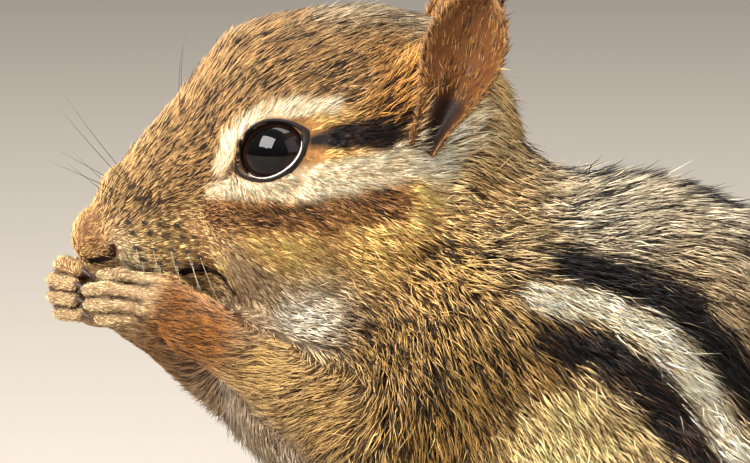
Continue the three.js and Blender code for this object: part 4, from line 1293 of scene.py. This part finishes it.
def build_ear_hair(side):
    """Short hairs that lie up the ear, close on its back, sparse in its cup and past its rim."""
    count = EAR_HAIRS
    t = 1 - (1 - rng.random(count)) ** 1.1
    behind = rng.random(count) < 0.62
    turn = np.where(behind, math.pi + math.pi * rng.random(count), math.pi * rng.random(count))
    step = 0.01
    roots, s = ear_surface(side, t * 0.97, turn)
    up_step = ear_surface(side, t * 0.97 + step, turn)[0]
    turn_step = ear_surface(side, t * 0.97, turn + step)[0]
    normals = unit(np.cross(turn_step - roots, up_step - roots))
    if side == LEFT:
        normals = -normals
    inside = np.sin(turn) > 0
    lie = unit(up_step - roots)
    to_rim = unit(turn_step - roots) * (np.sign(s) * np.where(inside, -1, 1))[:, None]
    lie = unit(lie + 0.9 * (s**2)[:, None] * to_rim)
    lie = in_plane(lie, normals)
    kept = ~inside | (t > 0.3) & (rng.random(count) < 0.85) | (np.abs(s) > 0.8)
    lengths = np.where(inside, 1.5, 1.2) * np.ones(count)
    lifts = np.where(inside, 16.0, 13.0)
    pale, brown, dark = map(to_linear, ((0.72, 0.53, 0.27), (0.46, 0.28, 0.11), (0.20, 0.12, 0.06)))
    pick = rng.random(count)
    hair = np.where((pick < 0.75)[:, None], brown, dark)
    hair = np.where((pick < np.where(inside, 0.3, 0.2))[:, None], pale, hair)
    hair = hair * np.exp(0.15 * rng.normal(size=count))[:, None]
    places = np.stack((0.02 + 0.96 * t, 0.02 + 0.96 * turn / (2 * math.pi)), -1)
    chosen = np.flatnonzero(kept)
    grown = grow(
        roots[chosen], lie[chosen], normals[chosen], lengths[chosen], lifts[chosen],
        [0.7 * hair[chosen], hair[chosen]], places[chosen], bends=0,
    )
    add_hairs(f"ear_hair_{side_name(side)}", grown)


for side in (LEFT, RIGHT):
    build_ear(side)
    build_ear_hair(side)


# Tail


def curve_through(points, shares):
    """A Catmull-Rom curve through points, at shares of its length."""
    points = np.asarray(points, float)
    ends = np.concatenate(([2 * points[0] - points[1]], points, [2 * points[-1] - points[-2]]))
    made = []
    for n in range(1, len(ends) - 2):
        a, b, c, d = ends[n - 1 : n + 3]
        t = np.linspace(0, 1, 24, endpoint=False)[:, None]
        squared, cubed = (2 * a - 5 * b + 4 * c - d) * t**2, (3 * b - a - 3 * c + d) * t**3
        made.append(0.5 * (2 * b + (c - a) * t + squared + cubed))
    dense = np.concatenate(made + [points[-1:]])
    return along_line(dense, np.asarray(shares) * length_marks(dense)[-1])


def tail_frame(t):
    at = curve_through(TAIL_LINE, t)
    after, before = np.minimum(1, t + 0.01), np.maximum(0, t - 0.01)
    along = unit(curve_through(TAIL_LINE, after) - curve_through(TAIL_LINE, before))
    aside = unit(np.cross((0, 0, 1), along))
    return at, along, aside, np.cross(along, aside)


def tail_surface(t, turn):
    """Places on the tail's skin, and the directions out of it and along it.

    turn is 0 at one flank and a quarter turn on top."""
    at, along, aside, up = tail_frame(t)
    taper = np.sqrt(np.maximum(0.02, 1 - t**3)) * (0.86 + 0.14 * np.minimum(1, 4 * t))
    wide, high = TAIL_HALF_WIDTH * taper, TAIL_HALF_HEIGHT * taper
    c, s = np.cos(turn), np.sin(turn)
    place = at + (wide * c)[:, None] * aside + (high * s)[:, None] * up
    return place, unit((c / wide)[:, None] * aside + (s / high)[:, None] * up), along


def build_tail():
    rows, columns = 90, 32
    turns = np.linspace(0, 2 * math.pi, columns, endpoint=False)
    t, turn = grid(np.linspace(0, 1, rows), turns)
    rings = tail_surface(t, turn)[0].reshape(rows, columns, 3)
    ends = [np.repeat(ring.mean(0)[None, None], columns, 1) for ring in (rings[0], rings[-1])]
    vertices, faces = cap_points(np.concatenate([ends[0], rings, ends[1]]), columns)
    below = smooth(-0.2, 0.6, -(vertices[:, 2] - 2.9) / 2)
    above, under = to_linear((0.20, 0.12, 0.07)), to_linear((0.42, 0.25, 0.12))
    colours = above + below[:, None] * (under - above)
    core = make_mesh("tail_skin", vertices, faces, skin_material, colours)
    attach(core, "root")
    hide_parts("tail_1", "tail_2", "tail_3")


def build_tail_hair():
    """Long hairs with a rusty root, a black band and a pale tip, combed flat to either side."""
    count = TAIL_HAIRS
    t = rng.random(count) ** 0.9
    turn = rng.uniform(-0.5, math.pi + 0.5, count)
    low = rng.random(count) < 0.3
    turn = np.where(low, rng.uniform(math.pi, 2 * math.pi, count), turn)
    roots, normals, along = tail_surface(t, turn)
    c, s = np.cos(turn), np.sin(turn)
    aside = tail_frame(t)[2]
    out = unit(c[:, None] * aside + (0.45 * np.maximum(0, s))[:, None] * (0, 0, 1) + 1e-6)
    near_root = smooth(0.0, 0.12, t)
    lift = (8 + 24 * np.abs(c) ** 1.2 + 4 * rng.normal(size=count)) * (0.35 + 0.65 * near_root)
    lengths = (6.5 + 6.0 * near_root) * (1 - 0.16 * t) * np.where(s < -0.3, 0.75, 1.0)
    lift = np.where(s < -0.3, 3 + 22 * np.abs(c) ** 2, lift)
    normals = unit(out + 0.35 * normals)
    normals = in_plane(normals, along)
    edge = smooth(0.5, 0.95, np.abs(c))
    base, band, tip = map(to_linear, ((0.62, 0.38, 0.18), (0.12, 0.085, 0.07), (0.80, 0.72, 0.60)))
    rusty, buff = to_linear((0.70, 0.44, 0.20)), to_linear((0.78, 0.56, 0.32))
    under = smooth(0.1, 0.6, -s)[:, None]
    shade = np.exp(0.15 * rng.normal(size=count))[:, None]
    frosted = (rng.random(count) < 0.35 + 0.45 * edge)[:, None]
    middle = (band + under * (rusty - band)) * shade
    top = np.where(frosted, tip, band + 0.25 * (base - band))
    top = (top + 0.6 * under * (buff - top)) * shade
    root = (base + under * (rusty - base)) * shade * 0.8
    colours = [root, 0.5 * root + 0.5 * middle, middle, top]
    places = np.stack((0.01 + 0.97 * t, 0.01 + 0.97 * (turn % (2 * math.pi)) / (2 * math.pi)), -1)
    habit = {"bends": 2, "sag": 0.5, "pull": 0.35, "clump_size": 12}
    grown = grow(roots, along, normals, lengths, lift, colours, places, **habit)
    add_hairs("tail_hair", grown)


build_tail()
build_tail_hair()


# Claws and whiskers
FINGER_CLAW = (2.0, 0.40, 0.5)  # length, radius at the root, droop
TOE_CLAW = (2.6, 0.48, 0.3)


def claw_part(line, size):
    length, radius, droop = size
    middle, tip = np.array(line[1]), np.array(line[2])
    ahead = unit(tip - middle)
    share = np.linspace(0, 1, 9)[:, None]
    path = tip - 0.25 * ahead + share * (length + 0.25) * ahead
    path[:, 2] += droop * (0.9 * share[:, 0] - 1.5 * share[:, 0] ** 2)
    path[:, 2] = np.maximum(path[:, 2], 0.3)
    radii = radius * (1 - share[:, 0] ** 1.6 * 0.96)
    return tube(path, radii, 8, flat=1.2)


def build_claws():
    parts = [claw_part(line, FINGER_CLAW) for line in NEAR_FINGERS + FAR_FINGERS]
    parts += [claw_part(line, TOE_CLAW) for side in (LEFT, RIGHT) for line in toe_lines(side)]
    vertices, faces = joined(parts)
    colours = flat_colours(len(vertices), (0.22, 0.15, 0.11))
    claws = make_mesh("claws", vertices, faces, horn_material, colours)
    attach(claws, "root")
    names = [f"claw_hand_{side}_{n}" for side in ("left", "right") for n in range(1, 5)]
    names += [f"claw_foot_{side}_{n}" for side in ("left", "right") for n in range(1, 6)]
    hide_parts(*names)


def whisker(root, towards, length, bend, radius):
    share = np.linspace(0, 1, 12)[:, None]
    path = np.asarray(root) + length * (share * towards + share**2 * np.asarray(bend))
    return tube(path, radius * (1 - 0.93 * share[:, 0]), 5, up=(0.3, 0.2, 1))


def build_whiskers():
    pale, dark, follicle = [], [], []
    for side in (LEFT, RIGHT):
        for row, n, spot in whisker_roots():
            _, rise, lengths = WHISKER_ROWS[row]
            root = onto_surface(trunk, np.array([on_side(side, spot)]), 10, 1.0)[0]
            sway = 0.06 * rng.normal(size=2)
            towards = unit(on_side(side, (0.05 + 0.1 * n + sway[0], 0.75, rise + 2 * sway[1])))
            length = lengths[n] * rng.uniform(0.85, 1.1)
            bend = on_side(side, (0.2, -0.2, -0.25))
            thick = WHISKER_RADIUS if row < 2 else 0.6 * WHISKER_RADIUS
            made = whisker(root - 0.4 * towards, towards, length, bend, thick)
            (dark if row < 2 else pale).append(made)
            for _ in range(FOLLICLE_HAIRS):
                start = root + 0.13 * rng.normal(size=3) * (1, 0.3, 1)
                leaning = unit(on_side(side, (0.75, 0.62, -0.1)) + 0.12 * rng.normal(size=3))
                start = start - 0.15 * leaning
                spot_hair = whisker(start, leaning, FOLLICLE_LENGTH, (0, 0, 0), FOLLICLE_RADIUS)
                follicle.append(spot_hair)
        for root, towards, length in LONG_HAIRS:
            root = onto_surface(trunk, np.array([on_side(side, root)]), 10, 1.0)[0]
            towards = unit(on_side(side, towards))
            bend = on_side(side, (0.12, 0, -0.08))
            dark.append(whisker(root - 0.4 * towards, towards, length, bend, WHISKER_RADIUS))
    for name, parts, colour in (
        ("pale", pale, (0.86, 0.80, 0.70)),
        ("dark", dark, (0.12, 0.08, 0.07)),
        ("roots", follicle, (0.13, 0.08, 0.055)),
    ):
        vertices, faces = joined(parts)
        colours = flat_colours(len(vertices), colour)
        whiskers = make_mesh(f"whiskers_{name}", vertices, faces, horn_material, colours)
        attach(whiskers, "root")


build_claws()
build_whiskers()


# Camera, light and floor
AIM = np.array([37.5, -8.0, 49.85])
CAMERA_AWAY = 900
CAMERA_AZIMUTH, CAMERA_ELEVATION = 0, 6
FRAME_WIDTH = 75.0
SENSOR_WIDTH = 36
FLOOR_REACH = 4000.0


def build_camera():
    azimuth, elevation = math.radians(CAMERA_AZIMUTH), math.radians(CAMERA_ELEVATION)
    level = math.cos(elevation)
    back = np.array([-math.sin(azimuth) * level, -math.cos(azimuth) * level, math.sin(elevation)])
    data = bpy.data.cameras.new("camera")
    data.sensor_width = SENSOR_WIDTH
    data.lens = SENSOR_WIDTH * CAMERA_AWAY / FRAME_WIDTH
    data.clip_start, data.clip_end = 0.01, 20
    camera = bpy.data.objects.new("camera", data)
    camera.location = (AIM + SHIFT + CAMERA_AWAY * back) * MM
    camera.rotation_euler = Vector(-back).to_track_quat("-Z", "Y").to_euler()
    bpy.context.scene.collection.objects.link(camera)
    bpy.context.scene.camera = camera


def build_light(name, towards, away, size, watts, colour):
    data = bpy.data.lights.new(name, "AREA")
    data.shape = "RECTANGLE"
    data.size, data.size_y = size[0] * MM, size[1] * MM
    data.energy = watts
    data.color = colour
    lamp = bpy.data.objects.new(name, data)
    direction = unit(towards)
    lamp.location = (AIM + SHIFT + away * direction) * MM
    lamp.rotation_euler = Vector(-direction).to_track_quat("-Z", "Y").to_euler()
    bpy.context.scene.collection.objects.link(lamp)


def build_stage():
    """A plain floor that runs far past the frame on every side."""
    corners = FLOOR_REACH * np.array([(-1, -1, 0), (1, -1, 0), (1, 1, 0), (-1, 1, 0)])
    material, tree, shader = new_material("stage")
    noise = add_node(tree, "ShaderNodeTexNoise", Scale=3.0, Detail=2.0)
    ramp = tree.nodes.new("ShaderNodeValToRGB")
    ramp.color_ramp.elements[0].color = (*to_linear((0.62, 0.59, 0.55)), 1)
    ramp.color_ramp.elements[1].color = (*to_linear((0.65, 0.62, 0.58)), 1)
    tree.links.new(noise.outputs["Fac"], ramp.inputs["Fac"])
    tree.links.new(ramp.outputs["Color"], shader.inputs["Base Color"])
    shader.inputs["Roughness"].default_value = 0.9
    corners = corners - SHIFT * (1, 1, 0)
    floor = make_mesh("floor", corners, [(0, 1, 2, 3)], material, smooth_shaded=False)


def build_world():
    world = bpy.data.worlds.new("studio")
    bpy.context.scene.world = world
    world.use_nodes = True
    tree = world.node_tree
    place = tree.nodes.new("ShaderNodeTexCoord")
    height = tree.nodes.new("ShaderNodeSeparateXYZ")
    tree.links.new(place.outputs["Generated"], height.inputs["Vector"])
    ramp = tree.nodes.new("ShaderNodeValToRGB")
    ramp.color_ramp.elements[0].position, ramp.color_ramp.elements[1].position = 0.0, 0.6
    ramp.color_ramp.elements[0].color = (0.32, 0.31, 0.30, 1)
    ramp.color_ramp.elements[1].color = (1.0, 0.98, 0.96, 1)
    tree.links.new(height.outputs["Z"], ramp.inputs["Fac"])
    background = tree.nodes["Background"]
    tree.links.new(ramp.outputs["Color"], background.inputs["Color"])
    background.inputs["Strength"].default_value = 0.42


build_camera()
build_light("key", (-0.5, -0.56, 0.62), 700, (540, 420), 15, (1.0, 0.98, 0.95))
build_light("fill", (0.85, -0.4, 0.5), 1200, (1200, 900), 5, (0.95, 0.97, 1.0))
build_light("top", (0.15, 0.25, 0.95), 800, (700, 500), 9, (1.0, 0.98, 0.95))
build_stage()
build_world()
bpy.context.scene.view_settings.view_transform = "Standard"
